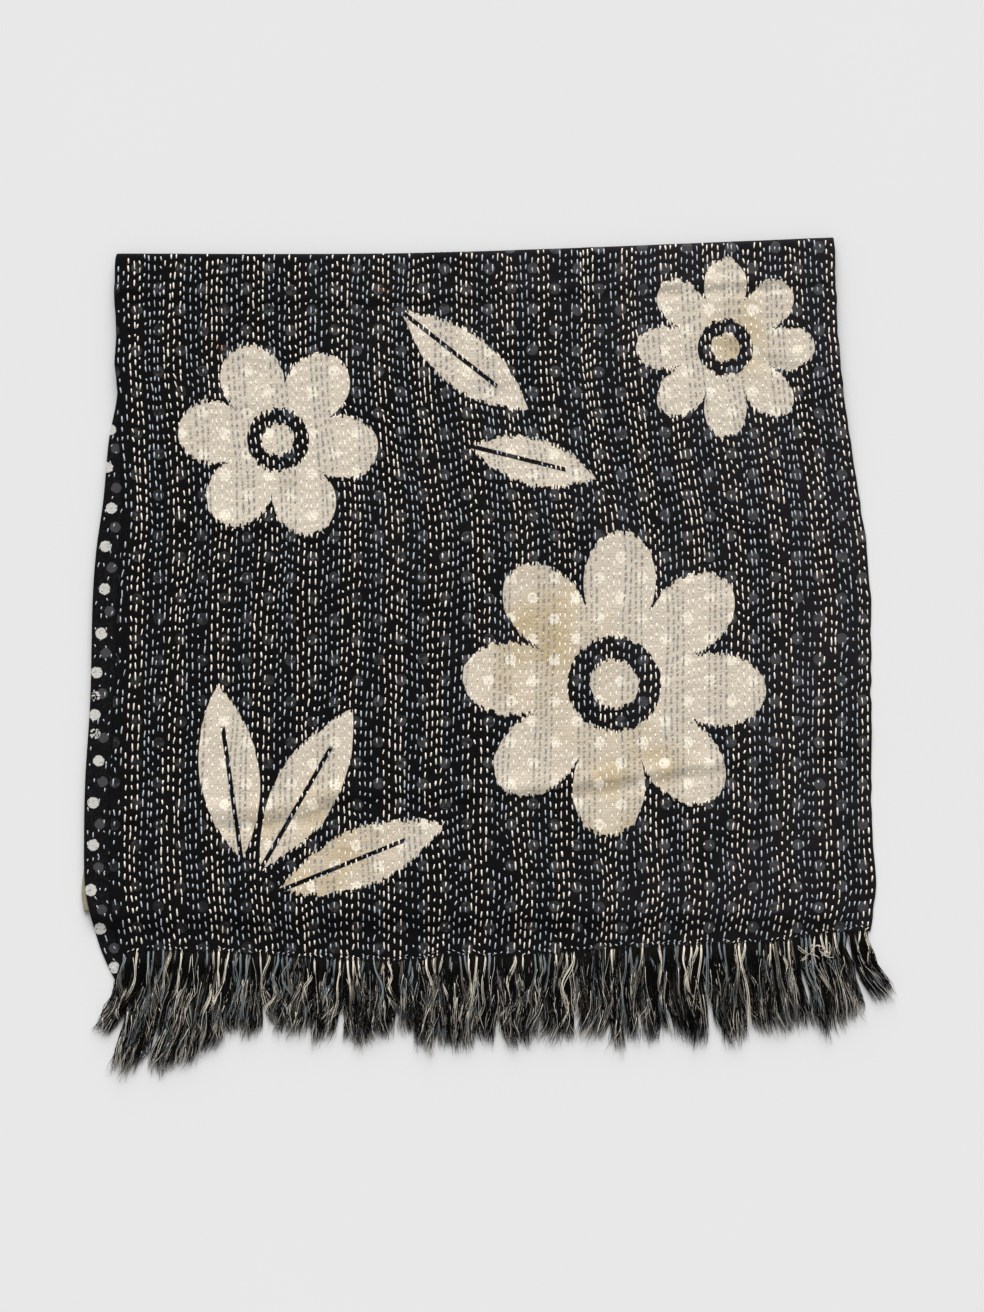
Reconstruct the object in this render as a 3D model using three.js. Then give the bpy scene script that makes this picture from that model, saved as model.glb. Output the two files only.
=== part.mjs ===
// A kantha scarf, folded in half twice and laid flat. Millimetres, +Z up.
// The origin is the middle of the underside, on the table. +X runs along the top fold to the right,
// +Y runs from the fringed ends to the top fold.
// From the top the layers are the front quarter, the second quarter with its reverse side up, and
// two hidden quarters that share one solid. The front quarter wraps round the top fold to the table.

import * as THREE from 'three';

// Driving dimensions
const CLOTH = 1.6;                 // one stitched layer
const GAP = 0.3;                   // air between two pieces
const EDGE_ROLL = 0.6;             // how far a cut edge rolls in
const FOLD_RETURN = 10;            // how far the front quarter runs back under the top fold
const NOSE_RETURN = 2;             // the same for the fold inside it
const ROW_PITCH = 4.25;            // between two rows of running stitch
const ROW_DEPTH = 0.35;            // how deep a row of stitches pulls the cloth in
const CREST_RISE = 0.1;            // how far the cloth between two rows stands up
const SLUMP_WIDTH = 17;            // cloth past the edge below it comes down to the table in this width
const SLUMP_START = 0.6;           // it stays level up to this far past that edge
const SIDE_OVERHANG = 3.6;         // the second quarter reaches this far past the hidden ones, level
const ROLL_HEIGHT = 0.5;           // height over which the edge of a hidden layer rolls in
const GROOVE_DEPTH = 2.4;          // how deep the two hidden layers part along their sides
const GROOVE_LIP = 0.05;
const STRIP_WIDTH = 2.5;           // woven strip that carries a fringe
const ROOT_LENGTH = 1.5;           // a lock gathers from the strip's cell to its own width in this
const LOCK_WIDTH = 3.8;            // a lock of fringe near its root
const LOCK_FILL = 0.58;            // share of its cell that a lock takes where cells are narrow
const LOCK_TAPER = 0.5;            // share of its width that a lock loses towards the tip
const LOCK_HEIGHT = 1.2;
const LOCK_FLOOR_GAP = 0.3;        // the lowest lock above the table
const LOCK_WAVE = 2.2;             // sideways wave of a lock
const UPPER_LOCKS = 82;
const LOWER_LOCKS = 46;
const LAY_LEFT = -280;             // the stretch over which heights are read across the lay
const LAY_RIGHT = 280;

// Levels of the layers, worked out from the cloth and the gap
const INNER_TOP = 2 * CLOTH + GAP;
const SECOND_LEVEL = INNER_TOP + GAP;
const FRONT_LEVEL = SECOND_LEVEL + CLOTH + GAP;
const FOLD_MIDDLE = (FRONT_LEVEL + CLOTH) / 2;
const FOLD_RADIUS = FOLD_MIDDLE;
const NOSE_RADIUS = FOLD_RADIUS - CLOTH - GAP;
const ROW_COUNT = Math.round((LAY_RIGHT - LAY_LEFT) / ROW_PITCH);

// Side edges of the front quarter, from the top fold down to the hem
const FRONT_SIDES = [
  { y: 262, left: -279.5, right: 250.5 },
  { y: 222, left: -280.2, right: 252.3 },
  { y: 170, left: -280.0, right: 255.3 },
  { y: 118, left: -276.8, right: 262.7 },
  { y: 60, left: -275.2, right: 272.3 },
  { y: 0, left: -278.7, right: 277.5 },
  { y: -60, left: -281.0, right: 278.0 },
  { y: -120, left: -283.5, right: 278.2 },
  { y: -180, left: -284.2, right: 279.3 },
  { y: -214, left: -283.0, right: 281.2 },
  { y: -240, left: -281.0, right: 277.3 },
  { y: -268, left: -278.0, right: 272.0 },
];

// Side edges of the second quarter, which shows as a strip along the left
const SECOND_SIDES = [
  { y: 262, left: -276.0, right: 248.0 },
  { y: 200, left: -277.5, right: 251.0 },
  { y: 152, left: -279.0, right: 254.0 },
  { y: 118, left: -285.2, right: 254.5 },
  { y: 74, left: -289.3, right: 256.0 },
  { y: 37, left: -294.5, right: 257.5 },
  { y: 0, left: -297.2, right: 259.0 },
  { y: -74, left: -299.0, right: 260.0 },
  { y: -133, left: -302.7, right: 259.5 },
  { y: -178, left: -303.6, right: 260.0 },
  { y: -210, left: -303.0, right: 260.5 },
  { y: -231, left: -299.4, right: 258.6 },
  { y: -260, left: -291.0, right: 256.5 },
  { y: -288, left: -277.8, right: 256.0 },
];

// Side edges of the two hidden quarters, whose lower corner looks out at the left
const INNER_SIDES = [
  { y: 262, left: -273.5, right: 245.5 },
  { y: 200, left: -275.0, right: 248.5 },
  { y: 152, left: -276.5, right: 251.5 },
  { y: 74, left: -286.0, right: 253.5 },
  { y: 37, left: -291.0, right: 255.0 },
  { y: 0, left: -293.8, right: 256.5 },
  { y: -74, left: -296.0, right: 257.5 },
  { y: -133, left: -300.0, right: 257.0 },
  { y: -178, left: -301.8, right: 257.0 },
  { y: -196, left: -303.6, right: 257.5 },
  { y: -216, left: -305.6, right: 258.0 },
  { y: -231, left: -303.7, right: 258.0 },
];

// Lines that cross the lay from left to right
const TOP_FOLD = [
  { x: -280, y: 256.0 },
  { x: -90, y: 256.0 },
  { x: 20, y: 258.8 },
  { x: 250, y: 267.9 },
];
const INNER_END = [
  { x: -306, y: -230.6 },
  { x: 260, y: -229.0 },
];
const FRONT_HEM = [
  { x: -280, y: -266.4 },
  { x: -262, y: -260.8 },
  { x: -218, y: -260.5 },
  { x: -122, y: -266.4 },
  { x: -70, y: -267.6 },
  { x: -33, y: -263.8 },
  { x: 18, y: -264.2 },
  { x: 78, y: -259.2 },
  { x: 152, y: -255.3 },
  { x: 211, y: -253.0 },
  { x: 248, y: -246.8 },
  { x: 276, y: -245.0 },
];
const SECOND_HEM = [
  { x: -280, y: -287.5 },
  { x: 262, y: -252.5 },
];

// Past the hidden quarters' end the cloth is halfway down at one line and on the table at the next
const SLUMPING = [
  { x: -306, y: -240.0 },
  { x: 150, y: -239.5 },
  { x: 276, y: -236.5 },
];
const SLUMPED = [
  { x: -306, y: -249.5 },
  { x: 120, y: -249.0 },
  { x: 211, y: -247.5 },
  { x: 248, y: -242.5 },
  { x: 276, y: -241.0 },
];

// Creases across the front, lifted off the layer below: middle line, half width and height
const PRESS_CREASE = { halfWidth: 6, height: 0.9 };
const PRESS_LINE = [
  { x: -280, y: 230.0 },
  { x: -196, y: 224.2 },
  { x: -117, y: 222.7 },
  { x: 98, y: 232.4 },
  { x: 250, y: 238.3 },
];
const LOW_CREASE = { halfWidth: 12, height: 1.1 };
const LOW_LINE = [
  { x: -280, y: -157.0 },
  { x: -150, y: -152.0 },
  { x: -115, y: -141.5 },
  { x: -11, y: -140.0 },
  { x: 152, y: -122.0 },
  { x: 276, y: -101.0 },
];
const MIDDLE_CREASE = { halfWidth: 60, height: 0.7 };
const MIDDLE_LINE = [
  { x: -280, y: 45.0 },
  { x: -120, y: 36.0 },
  { x: 120, y: 72.0 },
  { x: 276, y: 88.0 },
];
const UPPER_LINE = [
  { x: -280, y: 140.0 },
  { x: 276, y: 168.0 },
];

// Fringe: where its tips end across the lay, and how far a lock leans sideways on its way there
const UPPER_TIPS = [
  { x: -292, y: -311, lean: -16 },
  { x: -262, y: -322, lean: -17 },
  { x: -226, y: -325, lean: -14 },
  { x: -190, y: -319, lean: -8 },
  { x: -140, y: -325, lean: -6 },
  { x: -80, y: -326, lean: -3 },
  { x: -20, y: -331, lean: 2 },
  { x: 40, y: -327, lean: -2 },
  { x: 100, y: -329, lean: 3 },
  { x: 160, y: -326, lean: 5 },
  { x: 215, y: -322, lean: 9 },
  { x: 262, y: -313, lean: 17 },
  { x: 296, y: -291, lean: 24 },
];
const LOWER_TIPS = [
  { x: -296, y: -333, lean: -20 },
  { x: -266, y: -349, lean: -21 },
  { x: -236, y: -348, lean: -15 },
  { x: -212, y: -337, lean: -10 },
  { x: -185, y: -311, lean: -7 },
  { x: 0, y: -311, lean: 0 },
  { x: 200, y: -306, lean: 6 },
  { x: 280, y: -292, lean: 13 },
];


// Right of here the lower locks end short of the upper ones
const LOWER_SHORT_FROM = -190;

// Value of one column of a table, on a smooth curve through its rows
function readTable(table, input, output, at) {
  const rising = table[table.length - 1][input] > table[0][input];
  const rows = rising ? table : [...table].reverse();
  const value = THREE.MathUtils.clamp(at, rows[0][input], rows[rows.length - 1][input]);
  let i = 0;
  while (i < rows.length - 2 && value > rows[i + 1][input]) {
    i += 1;
  }
  const slope = (k) => {
    const before = rows[Math.max(k - 1, 0)];
    const after = rows[Math.min(k + 1, rows.length - 1)];
    return (after[output] - before[output]) / (after[input] - before[input]);
  };
  const step = rows[i + 1][input] - rows[i][input];
  const t = (value - rows[i][input]) / step;
  const fall = 2 * t * t * t - 3 * t * t + 1;
  const bendStart = t * t * t - 2 * t * t + t;
  const bendEnd = t * t * t - t * t;
  return fall * rows[i][output] + (1 - fall) * rows[i + 1][output]
    + step * (bendStart * slope(i) + bendEnd * slope(i + 1));
}

const lineAt = (line, x) => readTable(line, 'x', 'y', x);
const leftOf = (sides, y) => readTable(sides, 'y', 'left', y);
const rightOf = (sides, y) => readTable(sides, 'y', 'right', y);

// Height that cloth keeps this far past the edge of what it lies on, as a share of the full height
function slump(past, start) {
  return 1 - THREE.MathUtils.smoothstep(past, start, start + SLUMP_WIDTH);
}

// Underside of the second quarter, which comes down to the table past the hidden quarters
function secondLevel(x, y) {
  const pastEnd = lineAt(INNER_END, x) - y;
  const pastSide = Math.max(leftOf(INNER_SIDES, y) - x, x - rightOf(INNER_SIDES, y));
  return SECOND_LEVEL * slump(pastEnd, SLUMP_START) * slump(pastSide, SIDE_OVERHANG);
}

// A soft ridge along a crossing line
function ridge(crease, line, x, y) {
  const away = Math.abs(y - lineAt(line, x)) / crease.halfWidth;
  return crease.height * (1 - THREE.MathUtils.smoothstep(away, 0, 1));
}

// Underside of the front quarter, with its creases lifted off the layer below
function frontLevel(x, y) {
  const pastSide = Math.max(leftOf(SECOND_SIDES, y) - x, x - rightOf(SECOND_SIDES, y));
  const lift = ridge(PRESS_CREASE, PRESS_LINE, x, y)
    + ridge(LOW_CREASE, LOW_LINE, x, y)
    + ridge(MIDDLE_CREASE, MIDDLE_LINE, x, y);
  return (secondLevel(x, y) + CLOTH + GAP) * slump(pastSide, SLUMP_START) + lift;
}

// Collects points and triangles of one closed body
class Body {
  constructor() {
    this.points = [];
    this.faces = [];
  }

  point(x, y, z) {
    this.points.push(x, y, z);
    return this.points.length / 3 - 1;
  }

  triangle(a, b, c) {
    this.faces.push(a, b, c);
  }

  quad(a, b, c, d) {
    this.triangle(a, b, c);
    this.triangle(a, c, d);
  }

  // Joins two rows of points that run side by side from left to right, whatever their counts
  zip(first, second) {
    const across = (row, k) => (k < row.length ? this.points[3 * row[k]] : Infinity);
    this.join(first, second, across);
  }

  // Joins two rings that share a middle, whatever their counts
  zipRings(first, second) {
    const round = (ring, k) => k / (ring.length - 1);
    this.join([...first, first[0]], [...second, second[0]], round);
  }

  join(first, second, progress) {
    let i = 0;
    let j = 0;
    while (i < first.length - 1 || j < second.length - 1) {
      if (progress(first, i + 1) <= progress(second, j + 1) && i < first.length - 1) {
        this.triangle(first[i], first[i + 1], second[j]);
        i += 1;
      } else {
        this.triangle(first[i], second[j + 1], second[j]);
        j += 1;
      }
    }
  }

  // Faces of a grid of rows, seen from the side where rows run up and columns run right
  grid(rows, flipped) {
    for (let r = 0; r < rows.length - 1; r += 1) {
      const lower = flipped ? rows[r + 1] : rows[r];
      const upper = flipped ? rows[r] : rows[r + 1];
      for (let c = 0; c < lower.length - 1; c += 1) {
        this.quad(lower[c], lower[c + 1], upper[c + 1], upper[c]);
      }
    }
  }

  mesh(name, colour, roughness) {
    const geometry = new THREE.BufferGeometry();
    geometry.setAttribute('position', new THREE.Float32BufferAttribute(this.points, 3));
    geometry.setIndex(this.faces);
    geometry.computeVertexNormals();
    const material = new THREE.MeshStandardMaterial({ color: colour, roughness, metalness: 0 });
    const mesh = new THREE.Mesh(geometry, material);
    mesh.name = name;
    return mesh;
  }
}

// Place across a quarter at a share of its width, with the height that a crossing line has there
function placeOn(sides, lineY, share) {
  const guess = LAY_LEFT + (LAY_RIGHT - LAY_LEFT) * share;
  let y = lineY(guess);
  let x = guess;
  for (let pass = 0; pass < 2; pass += 1) {
    x = THREE.MathUtils.lerp(leftOf(sides, y), rightOf(sides, y), share);
    y = lineY(x);
  }
  return { x, y };
}

// Crossing lines of the front quarter from the hem up to where the top fold starts to bend
const FRONT_STATIONS = [
  (x) => lineAt(FRONT_HEM, x),
  (x) => lineAt(SLUMPED, x),
  (x) => lineAt(SLUMPING, x),
  (x) => lineAt(INNER_END, x) - SLUMP_START,
  (x) => lineAt(LOW_LINE, x) - LOW_CREASE.halfWidth,
  (x) => lineAt(LOW_LINE, x),
  (x) => lineAt(LOW_LINE, x) + LOW_CREASE.halfWidth,
  (x) => lineAt(MIDDLE_LINE, x),
  (x) => lineAt(UPPER_LINE, x),
  (x) => lineAt(PRESS_LINE, x) - PRESS_CREASE.halfWidth,
  (x) => lineAt(PRESS_LINE, x),
  (x) => lineAt(PRESS_LINE, x) + PRESS_CREASE.halfWidth,
];

// One layer wrapped round a fold: a section bends over at each place across the lay
function foldPoint(x, level, radius, angle, rise) {
  const foldY = lineAt(TOP_FOLD, x) - FOLD_RADIUS;
  const upper = level - FOLD_MIDDLE;
  const height = Math.sin(angle) > 0 ? upper + rise : radius;
  return {
    y: foldY + (radius + rise) * Math.cos(angle),
    z: FOLD_MIDDLE + height * Math.sin(angle),
  };
}

// Quilted front quarter, from its hem over the top fold and back under it to the table
function frontQuarter() {
  const body = new Body();
  const columns = 2 * ROW_COUNT;
  const bends = [Math.PI / 2, Math.PI / 4, 0];
  const coarseBends = [-Math.PI / 4, -Math.PI / 2];

  // The wall's outer points dip at each row of stitches
  const relief = (column) => (column % 2 === 1 ? -ROW_DEPTH : CREST_RISE);
  const rolled = (column) => column === 0 || column === columns;
  const outerPlace = (lineY, column) => {
    const place = placeOn(FRONT_SIDES, lineY, column / columns);
    if (rolled(column)) {
      place.x += column === 0 ? EDGE_ROLL : -EDGE_ROLL;
    }
    return place;
  };
  const outer = FRONT_STATIONS.map((lineY, station) => {
    const row = [];
    for (let column = 0; column <= columns; column += 1) {
      const place = outerPlace(lineY, column);
      const edge = rolled(column) || station === 0 ? -EDGE_ROLL : relief(column);
      const inset = station === 0 ? EDGE_ROLL : 0;
      row.push(body.point(place.x, place.y + inset, frontLevel(place.x, place.y) + CLOTH + edge));
    }
    return row;
  });
  const foldLine = (x) => lineAt(TOP_FOLD, x) - FOLD_RADIUS;
  for (const angle of bends) {
    const row = [];
    for (let column = 0; column <= columns; column += 1) {
      const place = outerPlace(foldLine, column);
      const level = frontLevel(place.x, foldLine(place.x)) + CLOTH;
      const rise = rolled(column) ? -EDGE_ROLL : relief(column);
      const bent = foldPoint(place.x, level, FOLD_RADIUS, angle, rise);
      row.push(body.point(place.x, bent.y, bent.z));
    }
    outer.push(row);
  }
  body.grid(outer, false);

  // Plain inside, and the part under the fold: few columns, closer where the right edge comes down
  const wideColumns = 15;
  const edgeColumns = 4;
  const insidePlace = (lineY, column) => {
    const left = placeOn(FRONT_SIDES, lineY, 0);
    const right = placeOn(FRONT_SIDES, lineY, 1);
    const start = Math.max(leftOf(SECOND_SIDES, left.y) - SLUMP_START, left.x + 1);
    const end = Math.min(rightOf(SECOND_SIDES, right.y) + SLUMP_START, right.x - 1);
    let x = left.x;
    if (column > 0) {
      x = column <= wideColumns + 1
        ? THREE.MathUtils.lerp(start, end, (column - 1) / wideColumns)
        : THREE.MathUtils.lerp(end, right.x, (column - 1 - wideColumns) / edgeColumns);
    }
    return { x, y: lineY(x) };
  };
  const insideColumns = Array.from({ length: wideColumns + edgeColumns + 2 }, (_, i) => i);
  const bentRow = (angle, radius, thickness) => insideColumns.map((column) => {
    const place = insidePlace(foldLine, column);
    const level = frontLevel(place.x, foldLine(place.x)) + thickness;
    const bent = foldPoint(place.x, level, radius, angle, 0);
    return body.point(place.x, bent.y, bent.z);
  });
  const endRow = (z) => insideColumns.map((column) => {
    const place = insidePlace(foldLine, column);
    return body.point(place.x, lineAt(TOP_FOLD, place.x) - FOLD_RETURN, z);
  });
  const under = coarseBends.map((angle) => bentRow(angle, FOLD_RADIUS, CLOTH));
  under.push(endRow(0));
  body.zip(outer[outer.length - 1], under[0]);
  body.grid(under, false);

  // The hem's lower border has as many points as its upper one, so that it follows the same curve
  const hemRow = outer[0].map((_, column) => {
    const place = placeOn(FRONT_SIDES, FRONT_STATIONS[0], column / columns);
    return body.point(place.x, place.y, frontLevel(place.x, place.y));
  });
  const inner = FRONT_STATIONS.slice(1).map((lineY) => insideColumns.map((column) => {
    const place = insidePlace(lineY, column);
    return body.point(place.x, place.y, frontLevel(place.x, place.y));
  }));
  body.zip(inner[0], hemRow);
  for (const angle of [...bends, ...coarseBends]) {
    inner.push(bentRow(angle, FOLD_RADIUS - CLOTH, 0));
  }
  inner.push(endRow(CLOTH));
  body.grid(inner, true);

  // Hem, the end under the fold, and the two side edges
  body.grid([hemRow, outer[0]], false);
  body.zip(under[under.length - 1], inner[inner.length - 1]);
  const outerSide = [...outer, ...under];
  const innerSide = [hemRow, ...inner];
  const lastOf = (row) => row[row.length - 1];
  for (let k = 0; k < outerSide.length - 1; k += 1) {
    body.quad(outerSide[k][0], outerSide[k + 1][0], innerSide[k + 1][0], innerSide[k][0]);
    body.quad(lastOf(outerSide[k]), lastOf(innerSide[k]),
      lastOf(innerSide[k + 1]), lastOf(outerSide[k + 1]));
  }
  return body.mesh('front_quarter', 0x3a3736, 0.9);
}

// Second quarter, reverse side up, with its rounded fold inside the front quarter's
function secondQuarter() {
  const body = new Body();
  const stripRows = 6;
  const plainColumns = 9;
  const upperHeights = [-206, -170, -133, -74, 0, 37, 74, 118, 152, 200];
  const stations = [
    (x) => lineAt(SECOND_HEM, x),
    (x) => lineAt(FRONT_HEM, x),
    (x) => lineAt(SLUMPED, x),
    (x) => lineAt(SLUMPING, x),
    (x) => lineAt(INNER_END, x) - SLUMP_START,
    ...upperHeights.map((y) => () => y),
  ];
  const foldLine = (x) => lineAt(TOP_FOLD, x) - FOLD_RADIUS;
  const columnCount = 2 * stripRows + plainColumns;
  const placeAt = (lineY, column) => {
    const left = placeOn(SECOND_SIDES, lineY, 0);
    const right = placeOn(SECOND_SIDES, lineY, 1);
    const stripEnd = left.x + stripRows * ROW_PITCH;
    const x = column <= 2 * stripRows
      ? left.x + column * ROW_PITCH / 2
      : THREE.MathUtils.lerp(stripEnd, right.x, (column - 2 * stripRows) / plainColumns);
    return { x, y: lineY(x) };
  };
  const relief = (column) => {
    if (column === 0 || column === columnCount) {
      return -EDGE_ROLL;
    }
    return column < 2 * stripRows && column % 2 === 1 ? -ROW_DEPTH : 0;
  };
  const columns = Array.from({ length: columnCount + 1 }, (_, i) => i);
  const roll = (column) => {
    if (column === 0) {
      return EDGE_ROLL;
    }
    return column === columnCount ? -EDGE_ROLL : 0;
  };
  const outer = stations.map((lineY, station) => columns.map((column) => {
    const place = placeAt(lineY, column);
    const hem = station === 0 ? EDGE_ROLL : 0;
    const top = secondLevel(place.x, place.y) + CLOTH;
    const z = top + (station === 0 ? -EDGE_ROLL : relief(column));
    return body.point(place.x + roll(column), place.y + hem, z);
  }));
  const inner = stations.map((lineY) => columns.map((column) => {
    const place = placeAt(lineY, column);
    return body.point(place.x, place.y, secondLevel(place.x, place.y));
  }));
  const nosePoint = (column, angle) => {
    const place = placeAt(foldLine, column);
    const side = roll(column);
    return body.point(
      place.x + side,
      foldLine(place.x) + NOSE_RADIUS * Math.cos(angle),
      FOLD_MIDDLE + NOSE_RADIUS * Math.sin(angle),
    );
  };
  for (const angle of [Math.PI / 2, Math.PI / 4, 0, -Math.PI / 4, -Math.PI / 2]) {
    outer.push(columns.map((column) => nosePoint(column, angle)));
  }
  const noseEnd = (z) => columns.map((column) => {
    const place = placeAt(foldLine, column);
    return body.point(place.x + roll(column), foldLine(place.x) - NOSE_RETURN, z);
  });
  outer.push(noseEnd(FOLD_MIDDLE - NOSE_RADIUS));
  inner.push(noseEnd(SECOND_LEVEL));
  body.grid(outer, false);
  body.grid(inner, true);
  body.zip(inner[0], outer[0]);
  body.zip(outer[outer.length - 1], inner[inner.length - 1]);

  // Side edges: the two borders have different counts above the last shared station
  const border = (rows, column) => rows.map((row) => row[column]);
  const shared = stations.length - 1;
  for (let k = 0; k < shared; k += 1) {
    body.quad(outer[k][0], outer[k + 1][0], inner[k + 1][0], inner[k][0]);
    body.quad(outer[k][columnCount], inner[k][columnCount],
      inner[k + 1][columnCount], outer[k + 1][columnCount]);
  }
  const closeNose = (column, leftSide) => {
    const rim = border(outer, column).slice(shared);
    const hub = inner[inner.length - 1][column];
    const start = inner[shared][column];
    const turn = (a, b, c) => (leftSide ? body.triangle(a, b, c) : body.triangle(a, c, b));
    turn(rim[0], hub, start);
    for (let k = 0; k < rim.length - 1; k += 1) {
      turn(rim[k], rim[k + 1], hub);
    }
  };
  closeNose(0, true);
  closeNose(columnCount, false);
  return body.mesh('second_quarter', 0x2f2f32, 0.9);
}

// Two hidden quarters as one rounded solid: a groove parts them along the sides, and they join
// in a round fold at the lower end
function innerFold() {
  const body = new Body();
  const sideSteps = 11;
  const crossSteps = 14;
  const foldInset = (z) => {
    const radius = INNER_TOP / 2;
    return radius - Math.sqrt(Math.max(radius * radius - (z - radius) * (z - radius), 0));
  };
  const lowEnd = FOLD_RETURN + GAP;
  const highEnd = FOLD_RADIUS + NOSE_RETURN + GAP;
  const rings = [
    { z: 0, side: EDGE_ROLL, end: lowEnd },
    { z: ROLL_HEIGHT, side: 0, end: lowEnd },
    { z: CLOTH - ROLL_HEIGHT, side: 0, end: lowEnd },
    { z: CLOTH, side: EDGE_ROLL, end: lowEnd },
    { z: CLOTH + GROOVE_LIP, side: GROOVE_DEPTH, end: lowEnd },
    { z: CLOTH + GAP - GROOVE_LIP, side: GROOVE_DEPTH, end: lowEnd },
    { z: CLOTH + GAP, side: EDGE_ROLL, end: highEnd },
    { z: CLOTH + GAP + ROLL_HEIGHT, side: 0, end: highEnd },
    { z: INNER_TOP - ROLL_HEIGHT, side: 0, end: highEnd },
    { z: INNER_TOP, side: EDGE_ROLL, end: highEnd },
  ];
  const loops = rings.map((ring) => {
    const low = (x) => lineAt(INNER_END, x) + foldInset(ring.z);
    const high = (x) => lineAt(TOP_FOLD, x) - ring.end;
    const loop = [];
    const add = (x, y) => loop.push({ x, y, id: body.point(x, y, ring.z) });
    const sideX = (which, y) => (which === 'left'
      ? leftOf(INNER_SIDES, y) + ring.side
      : rightOf(INNER_SIDES, y) - ring.side);
    const cornerX = { left: LAY_LEFT, right: LAY_RIGHT };
    const sideY = (which, t) => THREE.MathUtils.lerp(high(cornerX[which]), low(cornerX[which]), t);
    for (let k = 0; k < sideSteps; k += 1) {
      const y = sideY('left', k / sideSteps);
      add(sideX('left', y), y);
    }
    for (let k = 0; k < crossSteps; k += 1) {
      const x = THREE.MathUtils.lerp(sideX('left', low(LAY_LEFT)), sideX('right', low(LAY_RIGHT)),
        k / crossSteps);
      add(x, low(x));
    }
    for (let k = 0; k < sideSteps; k += 1) {
      const y = sideY('right', 1 - k / sideSteps);
      add(sideX('right', y), y);
    }
    for (let k = 0; k < crossSteps; k += 1) {
      const x = THREE.MathUtils.lerp(sideX('right', high(LAY_RIGHT)), sideX('left', high(LAY_LEFT)),
        k / crossSteps);
      add(x, high(x));
    }
    return loop;
  });
  for (let r = 0; r < loops.length - 1; r += 1) {
    const lower = loops[r];
    const upper = loops[r + 1];
    for (let k = 0; k < lower.length; k += 1) {
      const next = (k + 1) % lower.length;
      body.quad(lower[k].id, lower[next].id, upper[next].id, upper[k].id);
    }
  }
  const cap = (loop, up) => {
    const outline = loop.map((p) => new THREE.Vector2(p.x, p.y));
    for (const [a, b, c] of THREE.ShapeUtils.triangulateShape(outline, [])) {
      const ids = [loop[a].id, loop[b].id, loop[c].id];
      body.triangle(ids[0], up ? ids[1] : ids[2], up ? ids[2] : ids[1]);
    }
  };
  cap(loops[0], false);
  cap(loops[loops.length - 1], true);
  return body.mesh('inner_fold', 0x7c776a, 0.9);
}

// A fringe: a narrow strip along a hem, with locks that grow out of its front face
function fringe(name, options) {
  const body = new Body();
  const { sides, hem, tips, count, crowding, levelAt, restAt } = options;
  const stations = [];
  for (let i = 0; i <= count; i += 1) {
    const share = i / count;
    const place = placeOn(sides, (x) => lineAt(hem, x), share * (1 - crowding * (1 - share)));
    const inset = (i === 0 ? EDGE_ROLL : 0) - (i === count ? EDGE_ROLL : 0);
    const x = place.x + inset;
    const back = place.y - GAP;
    const bottom = levelAt(x, place.y);
    stations.push({
      x,
      front: back - STRIP_WIDTH,
      bottom,
      backLow: body.point(x, back, bottom),
      backHigh: body.point(x, back, bottom + CLOTH),
      frontLow: body.point(x, back - STRIP_WIDTH, bottom),
      frontHigh: body.point(x, back - STRIP_WIDTH, bottom + CLOTH),
    });
  }
  for (let i = 0; i < count; i += 1) {
    const a = stations[i];
    const b = stations[i + 1];
    body.quad(b.backLow, a.backLow, a.backHigh, b.backHigh);
    body.quad(a.frontHigh, b.frontHigh, b.backHigh, a.backHigh);
    body.quad(a.backLow, b.backLow, b.frontLow, a.frontLow);
    lock(body, a, b, i, tips, restAt);
  }
  const first = stations[0];
  const last = stations[count];
  body.quad(first.backLow, first.frontLow, first.frontHigh, first.backHigh);
  body.quad(last.frontLow, last.backLow, last.backHigh, last.frontHigh);
  return body.mesh(name, 0x2a2827, 0.95);
}

// Ripples of a lock along its length: neighbours ripple nearly alike, so they stay apart
const RIPPLES = [
  { size: 0.7, perLock: 0.37, alongLock: 4.6 },
  { size: 0.3, perLock: 0.11, alongLock: 8.3 },
];

// Unevenness of the tips from lock to lock, in millimetres
const TIP_WAVES = [
  { size: 3.2, perLock: 2.4 },
  { size: 2.2, perLock: 5.1 },
];

// Shares of a lock's length where it bends
const BENDS = [0.3, 0.56, 0.8];

function lockRipple(index, share) {
  let offset = 0;
  for (const ripple of RIPPLES) {
    offset += ripple.size * Math.sin(index * ripple.perLock + share * ripple.alongLock);
  }
  return LOCK_WAVE * share * offset;
}

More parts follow.
